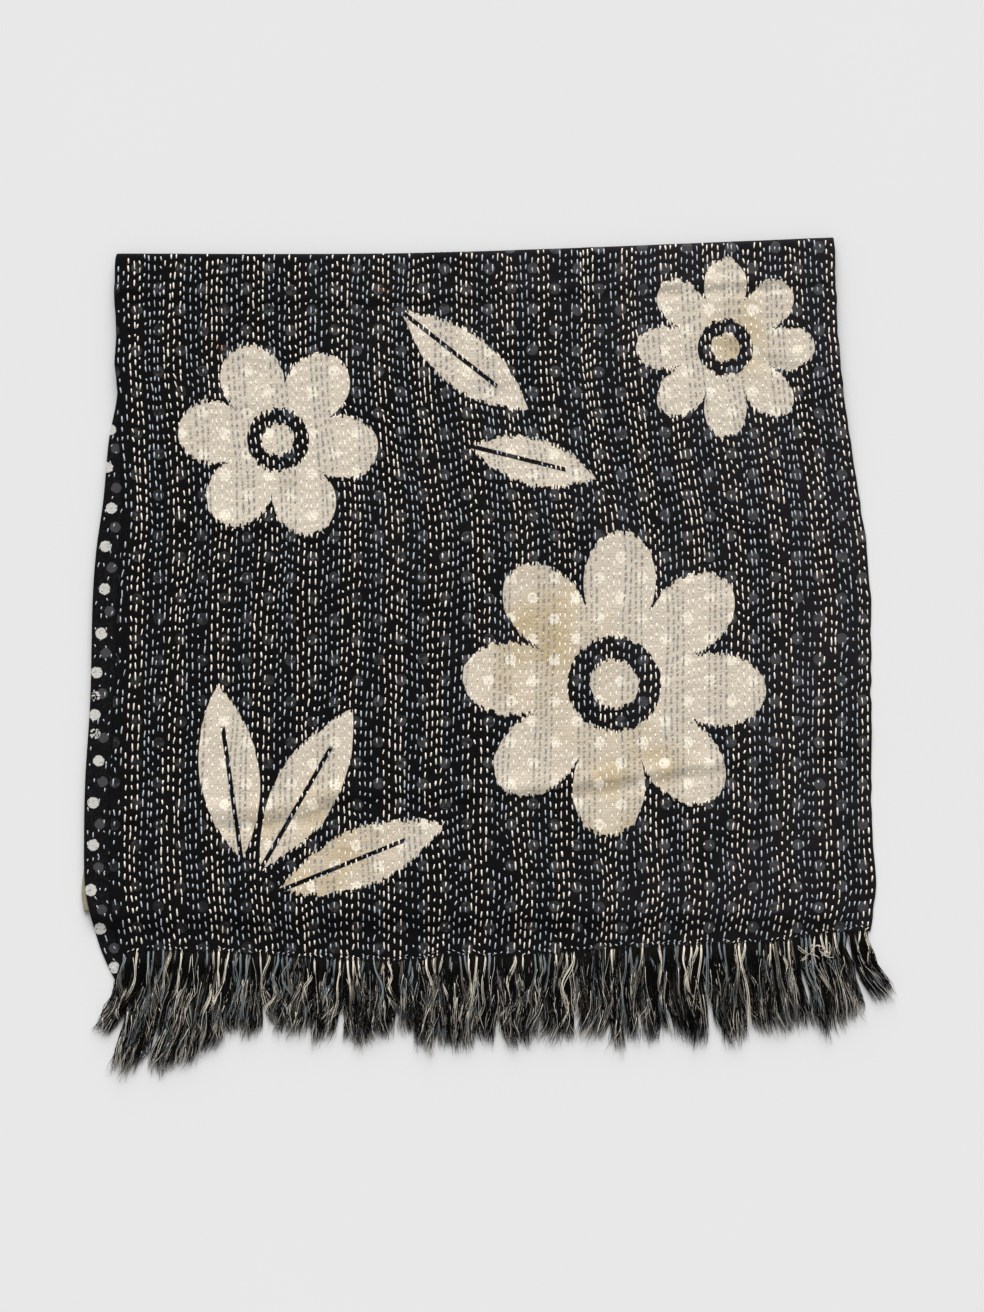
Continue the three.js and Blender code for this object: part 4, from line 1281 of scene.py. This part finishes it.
def flower_mask(tree, place, flower):
    """A flower with round petals, a dark ring near its middle and a pale eye"""
    moved = add_node(tree, "ShaderNodeVectorMath", {"operation": "SUBTRACT"},
                     {0: seen_from_above(tree, place), 1: (flower.x, flower.y, 0)})
    parts = add_node(tree, "ShaderNodeSeparateXYZ", None, {0: moved})
    angle = add_node(tree, "ShaderNodeMath", {"operation": "ARCTAN2"},
                     {0: parts.outputs["Y"], 1: parts.outputs["X"]})
    turned = add_node(tree, "ShaderNodeMath", {"operation": "MULTIPLY_ADD"},
                      {0: angle, 1: flower.petals / 2, 2: math.radians(flower.turn)})
    wave = add_node(tree, "ShaderNodeMath", {"operation": "COSINE"}, {0: turned})
    lobes = add_node(tree, "ShaderNodeMath", {"operation": "ABSOLUTE"}, {0: wave})
    round_lobes = add_node(tree, "ShaderNodeMath", {"operation": "POWER"}, {0: lobes, 1: 0.55})
    edge = add_node(tree, "ShaderNodeMath", {"operation": "MULTIPLY_ADD"},
                    {0: round_lobes, 1: 0.5 * flower.radius, 2: 0.5 * flower.radius})
    out = add_node(tree, "ShaderNodeVectorMath", {"operation": "LENGTH"}, {0: moved})
    distance = out.outputs["Value"]
    inside = add_node(tree, "ShaderNodeMath", {"operation": "SUBTRACT"}, {0: edge, 1: distance})
    petals = add_node(tree, "ShaderNodeMapRange", SOFT_STEP,
                      {"Value": inside, "From Min": -0.3, "From Max": 0.3})
    ring = add_node(tree, "ShaderNodeMath", {"operation": "COMPARE"},
                    {0: distance, 1: 0.235 * flower.radius, 2: 0.075 * flower.radius})
    return add_node(tree, "ShaderNodeMath", {"operation": "SUBTRACT", "use_clamp": True},
                    {0: petals, 1: ring})


def leaf_mask(tree, place, plain_place, leaf):
    """A pointed leaf with a dark midrib, which is too narrow to be feathered"""
    middle = (leaf.x, leaf.y, 0)
    sides = []
    for at in (place, plain_place):
        turned = add_node(tree, "ShaderNodeVectorRotate", {"rotation_type": "Z_AXIS"},
                          {"Vector": at, "Center": middle, "Angle": -math.radians(leaf.turn)})
        moved = add_node(tree, "ShaderNodeVectorMath", {"operation": "SUBTRACT"}, {0: turned, 1: middle})
        sides.append(add_node(tree, "ShaderNodeSeparateXYZ", None, {0: moved}))
    along = add_node(tree, "ShaderNodeMath", {"operation": "DIVIDE"},
                     {0: sides[0].outputs["X"], 1: leaf.length / 2})
    square = add_node(tree, "ShaderNodeMath", {"operation": "MULTIPLY"}, {0: along, 1: along})
    edge = add_node(tree, "ShaderNodeMath", {"operation": "MULTIPLY_ADD"},
                    {0: square, 1: -leaf.width / 2, 2: leaf.width / 2})
    across = add_node(tree, "ShaderNodeMath", {"operation": "ABSOLUTE"}, {0: sides[0].outputs["Y"]})
    inside = add_node(tree, "ShaderNodeMath", {"operation": "SUBTRACT"}, {0: edge, 1: across})
    blade = add_node(tree, "ShaderNodeMapRange", SOFT_STEP,
                     {"Value": inside, "From Min": -0.3, "From Max": 0.3})
    off_rib = add_node(tree, "ShaderNodeMath", {"operation": "ABSOLUTE"}, {0: sides[1].outputs["Y"]})
    rib = add_node(tree, "ShaderNodeMapRange", SOFT_STEP,
                   {"Value": off_rib, "From Min": 1.9, "From Max": 1.4})
    tip = add_node(tree, "ShaderNodeMapRange", SOFT_STEP,
                   {"Value": along, "From Min": 0.55, "From Max": 0.5})
    rib = add_node(tree, "ShaderNodeMath", {"operation": "MULTIPLY"}, {0: rib, 1: tip})
    return add_node(tree, "ShaderNodeMath", {"operation": "SUBTRACT", "use_clamp": True},
                    {0: blade, 1: rib})


def feathered(tree, place):
    """The place moved a little along the rows of stitches, so that edges end in a fine comb"""
    column = add_node(tree, "ShaderNodeVectorMath", {"operation": "SNAP"},
                      {0: place, 1: (1.3, 1000, 1000)})
    offset = add_node(tree, "ShaderNodeTexWhiteNoise", {"noise_dimensions": "3D"},
                      {"Vector": column})
    slide = add_node(tree, "ShaderNodeMath", {"operation": "MULTIPLY_ADD"}, {0: offset, 1: 3.8, 2: -1.9})
    vector = add_node(tree, "ShaderNodeCombineXYZ", None, {"Y": slide})
    return add_node(tree, "ShaderNodeVectorMath", {"operation": "ADD"}, {0: place, 1: vector})


def pale_mask(tree, place):
    """Share of the pale cut-out cloth: flowers and leaves with finely frayed edges"""
    comb = feathered(tree, place)
    shapes = [flower_mask(tree, comb, flower) for flower in FLOWERS]
    shapes += [leaf_mask(tree, comb, place, leaf) for leaf in LEAVES]
    return join_masks(tree, shapes)


def weave_height(tree, place, spacing):
    """Plain weave: threads that cross over and under"""
    waves = []
    for direction in ("X", "Y"):
        waves.append(add_node(tree, "ShaderNodeTexWave", {
            "wave_type": "BANDS", "bands_direction": direction, "wave_profile": "SIN"}, {
            "Vector": place, "Scale": math.pi / 10 / spacing, "Distortion": 2.0,
            "Detail": 2.0, "Detail Scale": 0.4}))
    return add_node(tree, "ShaderNodeMath", {"operation": "ADD"},
                    {0: waves[0].outputs["Fac"], 1: waves[1].outputs["Fac"]})


# Threads are 0.4 mm apart in the cloth. They are drawn 1.1 mm apart, because finer ones don't show.
DRAWN_THREAD = 1.1

# Grey dots of the front: one of them, the grid's spacing and their width
FIRST_DOT = Point(-246.5, 109.5)
DOTS_ACROSS = 32.5
DOTS_DOWN = 30.4
DOT_DIAMETER = 8.5


def finish_cotton(tree, place, base, worn):
    """Grain, weave and dullness, which all the cotton cloth of the scarf shares"""
    grain = add_node(tree, "ShaderNodeTexNoise", None, {"Vector": place, "Scale": 1.1, "Detail": 3.0})
    shade = add_node(tree, "ShaderNodeMapRange", SOFT_STEP, {
        "Value": grain.outputs["Fac"], "From Min": 0.3, "From Max": 0.7, "To Min": 0.8, "To Max": 1.12})
    base = add_node(tree, "ShaderNodeVectorMath", {"operation": "SCALE"}, {"Vector": base, "Scale": shade})
    bump = add_node(tree, "ShaderNodeBump", None, {
        "Strength": 0.35, "Distance": 0.15 * MM, "Height": weave_height(tree, place, DRAWN_THREAD)})
    rough = add_node(tree, "ShaderNodeMapRange", SOFT_STEP, {
        "Value": worn, "From Min": 0.2, "From Max": 0.8, "To Min": 0.78, "To Max": 0.95})
    finish_material(tree, base, rough, bump, sheen=0.0)


def faded_ground_with_painted_light(tree, place, dots, worn, colours):
    """Black ground that fades in patches, with worn grey dots. A painted light gradient lightens the ground
    and shows the dots more towards the upper right.
    """
    patches = add_node(tree, "ShaderNodeTexNoise", None,
                       {"Vector": place, "Scale": 0.012, "Detail": 5.0, "Roughness": 0.62})
    # Painted light: a gradient that is brighter towards the upper right
    painted_light = add_node(tree, "ShaderNodeVectorMath", {"operation": "DOT_PRODUCT"},
                   {0: place, 1: (0.0009, 0.0004, 0)})
    faded = add_node(tree, "ShaderNodeMath", {"operation": "ADD"},
                     {0: patches.outputs["Fac"], 1: painted_light.outputs["Value"]})
    faded = add_node(tree, "ShaderNodeMapRange", SOFT_STEP,
                     {"Value": faded, "From Min": 0.35, "From Max": 0.95})
    ground = add_node(tree, "ShaderNodeMix", OF_COLOURS,
                      {"Factor": faded, "A": colours.black, "B": colours.dusty})
    # The painted light gradient also lets the grey dots show more towards the upper right
    clean = add_node(tree, "ShaderNodeMath", {"operation": "MULTIPLY_ADD"},
                     {0: painted_light.outputs["Value"], 1: 0.5, 2: worn})
    show = worn_away(tree, dots, clean, gone=0.3, whole=0.62, least=0.2)
    return add_node(tree, "ShaderNodeMix", OF_COLOURS,
                    {"Factor": show, "A": ground, "B": colours.grey_dot})


def stained_cream(tree, place, moved, dots, worn, colours):
    """Pale cotton: yellowed in places, lighter over a dot of the cloth below, with painted shade in the
    grooves
    """
    blotch = add_node(tree, "ShaderNodeTexNoise", None, {"Vector": place, "Scale": 0.03, "Detail": 4.0})
    stains = spot_mask(tree, moved, TAN_STAINS, softness=0.9)
    stained = worn_away(tree, stains, blotch.outputs["Fac"], gone=0.35, whole=0.7, least=0.15)
    cream = add_node(tree, "ShaderNodeMix", OF_COLOURS,
                     {"Factor": stained, "A": colours.cream, "B": colours.tan})
    clear = worn_away(tree, dots, worn, gone=0.25, whole=0.5, least=0.3, most=0.9)
    cream = add_node(tree, "ShaderNodeMix", OF_COLOURS,
                     {"Factor": clear, "A": cream, "B": colours.pale_dot})
    # Painted shade: darker pale cotton in the grooves of the stitch rows, most near the stitches' ends
    groove = add_node(tree, "ShaderNodeAttribute", {"attribute_name": "groove"})
    depth = add_node(tree, "ShaderNodeMath", {"operation": "MULTIPLY"},
                     {0: groove.outputs["Fac"], 1: worn})
    pulled = add_node(tree, "ShaderNodeMapRange", SOFT_STEP,
                      {"Value": depth, "From Min": 0.08, "From Max": 0.55, "To Max": 0.85})
    return add_node(tree, "ShaderNodeMix", OF_COLOURS, {"Factor": pulled, "A": cream, "B": colours.pulled})


def printed_black_cotton(colours):
    """Soft washed black cotton: a dull, faded ground where an older dotted cloth shows through, with
    painted light towards the upper right and painted shade in the grooves of the pale cloth
    """
    material, tree, place = start_material("quilted_cotton_black_and_cream")
    drift = add_node(tree, "ShaderNodeTexNoise", None, {"Vector": place, "Scale": 0.03, "Detail": 2.0})
    moved = add_node(tree, "ShaderNodeVectorMath", {"operation": "MULTIPLY_ADD"},
                     {0: drift.outputs["Color"], 1: (3.5, 3.5, 3.5), 2: place})
    worn = add_node(tree, "ShaderNodeTexNoise", None, {"Vector": place, "Scale": 0.35, "Detail": 4.0})
    worn = worn.outputs["Fac"]
    dots = dot_mask(tree, moved, FIRST_DOT, DOTS_ACROSS, DOTS_DOWN, DOT_DIAMETER, worn)
    base = add_node(tree, "ShaderNodeMix", OF_COLOURS, {
        "Factor": pale_mask(tree, place),
        "A": faded_ground_with_painted_light(tree, place, dots, worn, colours),
        "B": stained_cream(tree, place, moved, dots, worn, colours),
    })
    finish_cotton(tree, place, base, worn)
    return material


# Dots that show on the strip at the left: white ones, two mostly worn away, and grey ones between them
REVERSE_DOTS = (
    Spot(-282.6, 126.7, 4.2),
    Spot(-285.0, 99.0, 4.2),
    Spot(-282.2, 68.8, 4.4),
    Spot(-286.4, 40.7, 4.4),
    Spot(-287.1, 9.2, 4.4),
    Spot(-289.6, -23.7, 4.5),
    Spot(-293.0, -52.5, 4.4),
    Spot(-294.5, -83.6, 4.3),
    Spot(-291.6, -117.7, 4.3),
    Spot(-295.6, -148.7, 4.5),
    Spot(-295.6, -179.8, 4.5),
    Spot(-297.5, -213.1, 4.6),
    Spot(-290.8, -242.0, 4.6),
    Spot(-280.5, -270.8, 4.6),
)
REVERSE_WORN_DOTS = (Spot(-293.4, -69.8, 3.6), Spot(-294.0, -97.5, 4.2))
REVERSE_GREY_DOTS = tuple(
    Spot((a.x + b.x) / 2 + 5, (a.y + b.y) / 2, 4.2) for a, b in zip(REVERSE_DOTS, REVERSE_DOTS[1:])
)


def reverse_cotton(colours):
    """Reverse of the scarf: an older black cotton print with crisp white dots, worn through in places"""
    material, tree, place = start_material("printed_cotton_with_white_dots")
    worn = add_node(tree, "ShaderNodeTexNoise", None, {"Vector": place, "Scale": 0.5, "Detail": 4.0})
    uneven = add_node(tree, "ShaderNodeVectorMath", {"operation": "MULTIPLY_ADD"},
                      {0: worn.outputs["Color"], 1: (2.2, 2.2, 0), 2: place})
    worn = worn.outputs["Fac"]
    dots = spot_mask(tree, uneven, REVERSE_DOTS, softness=0.12)
    chipped = worn_away(tree, dots, worn, gone=0.66, whole=0.62)
    dots = spot_mask(tree, uneven, REVERSE_WORN_DOTS, softness=0.2)
    flakes = worn_away(tree, dots, worn, gone=0.49, whole=0.53)
    grey = spot_mask(tree, uneven, REVERSE_GREY_DOTS, softness=0.2)
    faded = add_node(tree, "ShaderNodeMapRange", SOFT_STEP,
                     {"Value": worn, "From Min": 0.4, "From Max": 0.8})
    base = add_node(tree, "ShaderNodeMix", OF_COLOURS,
                    {"Factor": faded, "A": colours.black, "B": colours.dusty})
    base = add_node(tree, "ShaderNodeMix", OF_COLOURS,
                    {"Factor": grey, "A": base, "B": colours.grey_dot})
    base = add_node(tree, "ShaderNodeMix", OF_COLOURS, {
        "Factor": join_masks(tree, (chipped, flakes)), "A": base, "B": colours.white_dot})
    finish_cotton(tree, place, base, worn)
    return material


def hidden_cotton(colours):
    """Pale washed cotton of the hidden layers, yellowed in soft blotches"""
    material, tree, place = start_material("washed_cotton_pale")
    blotch = add_node(tree, "ShaderNodeTexNoise", None, {"Vector": place, "Scale": 0.06, "Detail": 4.0})
    share = add_node(tree, "ShaderNodeMapRange", SOFT_STEP,
                     {"Value": blotch.outputs["Fac"], "From Min": 0.35, "From Max": 0.7})
    base = add_node(tree, "ShaderNodeMix", OF_COLOURS,
                    {"Factor": share, "A": colours.hidden, "B": colours.hidden_blotch})
    finish_cotton(tree, place, base, blotch.outputs["Fac"])
    return material


def finish_thread(tree, base, fibres, strength, depth, sheen):
    """Fine fibres of a thread or yarn, as bump and as unevenness of its dullness"""
    bump = add_node(tree, "ShaderNodeBump", None,
                    {"Strength": strength, "Distance": depth, "Height": fibres})
    rough = add_node(tree, "ShaderNodeMapRange", SOFT_STEP, {
        "Value": fibres, "From Min": 0.2, "From Max": 0.8, "To Min": 0.7, "To Max": 0.9})
    finish_material(tree, base, rough, bump, sheen)


def cotton_thread(name, thread, colours, sunk):
    """Soft loosely twisted cotton thread: dull, uneven in colour, with fine fibres.
    Thread that sinks into the pale cloth shows there in small spots."""
    material, tree, place = start_material(name)
    tone = add_node(tree, "ShaderNodeTexNoise", None, {"Vector": place, "Scale": 0.22, "Detail": 3.0})
    uneven = add_node(tree, "ShaderNodeMapRange", SOFT_STEP,
                      {"Value": tone.outputs["Fac"], "From Min": 0.3, "From Max": 0.75})
    darker = [value * 0.87 for value in thread[:3]] + [1.0]
    base = add_node(tree, "ShaderNodeMix", OF_COLOURS, {"Factor": uneven, "A": thread, "B": darker})
    patchy = add_node(tree, "ShaderNodeTexNoise", None, {"Vector": place, "Scale": 0.5, "Detail": 2.0})
    peeping = add_node(tree, "ShaderNodeMapRange", SOFT_STEP,
                       {"Value": patchy.outputs["Fac"], "From Min": 0.46, "From Max": 0.52})
    deep = add_node(tree, "ShaderNodeMix", OF_COLOURS,
                    {"Factor": peeping, "A": colours.cream, "B": colours.sunk})
    hidden = add_node(tree, "ShaderNodeMath", {"operation": "MULTIPLY"},
                      {0: pale_mask(tree, place), 1: sunk})
    base = add_node(tree, "ShaderNodeMix", OF_COLOURS, {"Factor": hidden, "A": base, "B": deep})
    rusty = add_node(tree, "ShaderNodeMath", {"operation": "MULTIPLY"},
                     {0: spot_mask(tree, place, RUST_STAINS, softness=0.7), 1: 0.75})
    base = add_node(tree, "ShaderNodeMix", OF_COLOURS, {"Factor": rusty, "A": base, "B": colours.rust})
    fibres = add_node(tree, "ShaderNodeTexNoise", None, {"Vector": place, "Scale": 3.0, "Detail": 3.0})
    finish_thread(tree, base, fibres.outputs["Fac"], strength=0.5, depth=0.12 * MM, sheen=0.1)
    return material


def fringe_yarn(name, clean, dusty, cool, dust_and_highlight_from):
    """Loose untwisted cotton yarn: here and there a fibre of the second colour, and more of them at the
    tips.
    On the black yarn and the fray these pale fibres are partly dust and fading, partly a painted highlight
    of fibres catching the light; on thread tails they are soiled. In some places they are blue-grey."""
    material, tree, place = start_material(name)
    along = add_node(tree, "ShaderNodeAttribute", {"attribute_name": "along"})
    tone = add_node(tree, "ShaderNodeAttribute", {"attribute_name": "tone"})
    dust_and_highlight = add_node(tree, "ShaderNodeMath", {"operation": "MULTIPLY_ADD"},
                    {0: along.outputs["Fac"], 1: 0.22, 2: tone.outputs["Fac"]})
    share = add_node(tree, "ShaderNodeMapRange", SOFT_STEP, {
        "Value": dust_and_highlight, "From Min": dust_and_highlight_from, "From Max": dust_and_highlight_from + 0.12, "To Max": 0.92})
    patch = add_node(tree, "ShaderNodeTexNoise", None, {"Vector": place, "Scale": 0.08, "Detail": 2.0})
    bluish = add_node(tree, "ShaderNodeMapRange", SOFT_STEP, {
        "Value": patch.outputs["Fac"], "From Min": 0.5, "From Max": 0.6, "To Max": 0.7})
    dusty = add_node(tree, "ShaderNodeMix", OF_COLOURS, {"Factor": bluish, "A": dusty, "B": cool})
    base = add_node(tree, "ShaderNodeMix", OF_COLOURS, {"Factor": share, "A": clean, "B": dusty})
    fibres = add_node(tree, "ShaderNodeTexNoise", None, {"Vector": place, "Scale": 2.0, "Detail": 2.0})
    finish_thread(tree, base, fibres.outputs["Fac"], strength=0.4, depth=0.1 * MM, sheen=0.0)
    return material


def painted_floor(colours):
    """Matt painted board: even and pale, with only a breath of unevenness"""
    material, tree, place = start_material("matt_painted_board")
    tone = add_node(tree, "ShaderNodeTexNoise", None, {"Vector": place, "Scale": 0.004, "Detail": 2.0})
    slightly = [value * 0.985 for value in colours.floor[:3]] + [1.0]
    base = add_node(tree, "ShaderNodeMix", OF_COLOURS,
                    {"Factor": tone.outputs["Fac"], "A": colours.floor, "B": slightly})
    rough = add_node(tree, "ShaderNodeMapRange", SOFT_STEP, {
        "Value": tone.outputs["Fac"], "From Min": 0.3, "From Max": 0.7, "To Min": 0.9, "To Max": 0.95})
    shader = add_node(tree, "ShaderNodeBsdfPrincipled", None, {
        "Base Color": base, "Roughness": rough, "Specular IOR Level": 0.0})
    add_node(tree, "ShaderNodeOutputMaterial", None, {"Surface": shader})
    return material


# Stage

# Half the side of a floor that reaches far past the view
FLOOR_HALF = 30.0

# Even light from all round, and a soft low one that comes in over the top fold
SKY_STRENGTH = 0.36
WINDOW_STRENGTH = 4.9
WINDOW_SPREAD = math.radians(55)
WINDOW_HEIGHT = math.radians(25)

# Camera straight above: its lens and sensor in millimetres, and how high and where its picture is
LENS = 85
SENSOR = 36
PICTURE_HEIGHT = 971 * MM
PICTURE_MIDDLE = Point(-2.2, -41.4)


# Operators


class SCARF_OT_stage(bpy.types.Operator):
    """Adds the floor, the soft light and the camera that looks straight down"""

    bl_idname = "scarf.stage"
    bl_label = "Stage"

    def execute(self, context):
        colours = context.scene.scarf_colours
        corners = FLOOR_HALF * np.array([(-1, -1, 0), (1, -1, 0), (1, 1, 0), (-1, 1, 0)])
        mesh = new_mesh("floor", corners, [(0, 1, 2, 3)], [])
        mesh.materials.append(painted_floor(colours))
        floor = bpy.data.objects.new("floor", mesh)
        context.scene.collection.objects.link(floor)

        world = bpy.data.worlds.new("studio")
        world.use_nodes = True
        background = world.node_tree.nodes["Background"]
        background.inputs["Color"].default_value = colour("#fbfbfb")
        background.inputs["Strength"].default_value = SKY_STRENGTH
        context.scene.world = world
        lamp = bpy.data.lights.new("window", "SUN")
        lamp.energy = WINDOW_STRENGTH
        lamp.angle = WINDOW_SPREAD
        window = bpy.data.objects.new("window", lamp)
        window.rotation_euler = (WINDOW_HEIGHT - math.pi / 2, 0, 0)
        context.scene.collection.objects.link(window)

        data = bpy.data.cameras.new("camera")
        data.lens = LENS
        data.sensor_width = SENSOR
        distance = PICTURE_HEIGHT * LENS / SENSOR
        camera = bpy.data.objects.new("camera", data)
        camera.location = (PICTURE_MIDDLE.x * MM, PICTURE_MIDDLE.y * MM, distance)
        context.scene.collection.objects.link(camera)
        context.scene.camera = camera
        context.scene.view_settings.view_transform = "Standard"
        return {"FINISHED"}


class SCARF_OT_fringes(bpy.types.Operator):
    """Adds both fringes: loose yarns, frayed tips and the thread tails of the stitch rows"""

    bl_idname = "scarf.fringes"
    bl_label = "Fringes"

    def execute(self, context):
        lay = Lay(context.scene.scarf_cloth)
        sizes = context.scene.scarf_fringe
        colours = context.scene.scarf_colours
        dull = colours.dull_tail
        cool = colours.blue_tail
        # The pale tips of the black yarn and the fray are partly dust and fading, partly painted highlight
        materials = {
            "yarn": fringe_yarn("loose_cotton_yarn_black", colours.yarn, colours.frayed, cool,
                                dust_and_highlight_from=0.84),
            "fray": fringe_yarn("frayed_cotton_fibre", colours.fray, colours.fray_tip_dust_and_highlight, cool,
                                dust_and_highlight_from=0.62),
            "cream": fringe_yarn("cotton_thread_tail_cream", colours.cream_tail, dull, dull,
                                 dust_and_highlight_from=0.8),
            "blue": fringe_yarn("cotton_thread_tail_blue_grey", cool, dull, dull, dust_and_highlight_from=0.8),
        }
        rows = range(lay.row_count)
        cream = [row for row in rows if is_cream(row)]
        blue = [row for row in rows if not is_cream(row)]
        upper = Fringe(lay, sizes, FRONT_SIDES, FRONT_HEM, UPPER_TIPS, lay.front_level,
                       rest=(1.1 * MM, 3.4 * MM), crowding=0.0, seed=SEED + 10)
        build_fringe(upper, "front_fringe", sizes.upper_yarns, materials,
                     {"cream": cream, "blue": blue}, TANGLES)
        lower = Fringe(lay, sizes, SECOND_SIDES, SECOND_HEM, LOWER_TIPS, lay.second_level,
                       rest=(0.8 * MM, 2.8 * MM), crowding=0.4, seed=SEED + 20)
        build_fringe(lower, "second_fringe", sizes.lower_yarns, materials,
                     {"cream": cream[::2], "blue": blue[::2]}, ())
        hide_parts("front_fringe")
        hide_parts("second_fringe")
        return {"FINISHED"}


class SCARF_OT_stitches(bpy.types.Operator):
    """Adds the running stitch of the front, as one piece for each colour of thread"""

    bl_idname = "scarf.stitches"
    bl_label = "Running stitch"

    def execute(self, context):
        sizes = context.scene.scarf_cloth
        colours = context.scene.scarf_colours
        lay = Lay(sizes)
        stitches = front_stitches(lay, sizes)
        surface = quilted_front(lay, sizes, stitches)
        columns = np.arange(1, 2 * lay.row_count, 2)
        cream_rows = np.array([is_cream(row) for row in range(lay.row_count)])
        for label, thread, wanted, sunk in (("cream", colours.cream_thread, True, 0.0),
                                            ("blue", colours.blue_thread, False, 0.9)):
            mine = cream_rows[stitches.column] == wanted
            chosen = Stitches(*[values[mine] for values in stitches])
            mesh = stitch_mesh(f"front_stitches_{label}", surface, columns, chosen)
            material = cotton_thread(f"running_stitch_cotton_{label}", thread, colours, sunk)
            add_piece(mesh, material)
        return {"FINISHED"}


class SCARF_OT_inner_cloth(bpy.types.Operator):
    """Adds the two hidden quarters as one sheet that turns round in the scarf's middle fold"""

    bl_idname = "scarf.inner_cloth"
    bl_label = "Hidden quarters"

    def execute(self, context):
        sizes = context.scene.scarf_cloth
        lay = Lay(sizes)
        surface = hidden_base(lay, sizes)
        mesh = ClosedSheet(surface, surface, lay.cloth).mesh("inner_cloth")
        piece = add_piece(mesh, hidden_cotton(context.scene.scarf_colours),
                          ["inner_fold"])
        return {"FINISHED"}


class SCARF_OT_second_cloth(bpy.types.Operator):
    """Adds the second quarter, reverse side up, which shows as a strip along the left"""

    bl_idname = "scarf.second_cloth"
    bl_label = "Second quarter"

    def execute(self, context):
        sizes = context.scene.scarf_cloth
        colours = context.scene.scarf_colours
        lay = Lay(sizes)
        plain = second_base(lay, sizes)
        surface = second_base(lay, sizes)
        random = np.random.default_rng(SEED + 30)
        rows, columns = surface.rows.shape[:2]
        depth = np.zeros((rows, columns))
        depth[:, 1:2 * STRIP_ROWS:2] = -sizes.row_depth * 0.8
        depth[:, 2:2 * STRIP_ROWS:2] = CREST_RISE
        soft = 0.18 * MM * soft_noise(random, rows, columns, 40, 6)
        soft[:, 2 * STRIP_ROWS:] = 0
        soft[:, 0] = 0
        surface.raise_top(depth + soft)
        mesh = ClosedSheet(surface, plain, lay.cloth).mesh("second_cloth")
        piece = add_piece(mesh, reverse_cotton(colours), ["second_quarter"])

        stitches = reverse_stitches(random, surface, sizes)
        mesh = stitch_mesh("second_stitches", surface, np.arange(1, 2 * STRIP_ROWS, 2), stitches)
        material = cotton_thread("running_stitch_cotton_reverse", colours.blue_thread, colours, sunk=0.0)
        threads = add_piece(mesh, material)
        return {"FINISHED"}


class SCARF_OT_front_cloth(bpy.types.Operator):
    """Adds the quilted front quarter, from its hem over the top fold and back under it"""

    bl_idname = "scarf.front_cloth"
    bl_label = "Front quarter"

    def execute(self, context):
        sizes = context.scene.scarf_cloth
        lay = Lay(sizes)
        surface = quilted_front(lay, sizes, front_stitches(lay, sizes))
        mesh = ClosedSheet(surface, front_base(lay), lay.cloth).mesh("front_cloth")
        # Painted shade of the stitch grooves, a value on each point of the outer face that the material
        # reads
        groove = np.zeros(len(mesh.vertices))
        groove[:surface.groove.size] = surface.groove.ravel()
        add_attribute(mesh, "groove", groove)
        material = printed_black_cotton(context.scene.scarf_colours)
        piece = add_piece(mesh, material, ["front_quarter"])
        return {"FINISHED"}


class SCARF_PT_sidebar(bpy.types.Panel):
    """Lists the operators in the order in which they run"""

    bl_idname = "SCARF_PT_sidebar"
    bl_label = "Folded kantha scarf"
    bl_space_type = "VIEW_3D"
    bl_region_type = "UI"
    bl_category = "Scarf"

    def draw(self, context):
        for step in STEPS:
            self.layout.operator(step.bl_idname)


STEPS = (
    SCARF_OT_stage,
    SCARF_OT_fringes,
    SCARF_OT_stitches,
    SCARF_OT_inner_cloth,
    SCARF_OT_second_cloth,
    SCARF_OT_front_cloth,
)
CLASSES = (ClothSizes, FringeSizes, ScarfColours) + STEPS + (SCARF_PT_sidebar,)


def register():
    for entry in CLASSES:
        bpy.utils.register_class(entry)
    bpy.types.Scene.scarf_cloth = PointerProperty(type=ClothSizes)
    bpy.types.Scene.scarf_fringe = PointerProperty(type=FringeSizes)
    bpy.types.Scene.scarf_colours = PointerProperty(type=ScarfColours)


def unregister():
    del bpy.types.Scene.scarf_colours
    del bpy.types.Scene.scarf_fringe
    del bpy.types.Scene.scarf_cloth
    for entry in reversed(CLASSES):
        bpy.utils.unregister_class(entry)


def main():
    register()
    bpy.ops.scarf.stage()
    bpy.ops.scarf.fringes()
    bpy.ops.scarf.stitches()
    bpy.ops.scarf.inner_cloth()
    bpy.ops.scarf.second_cloth()
    bpy.ops.scarf.front_cloth()


if __name__ == "__main__":
    main()
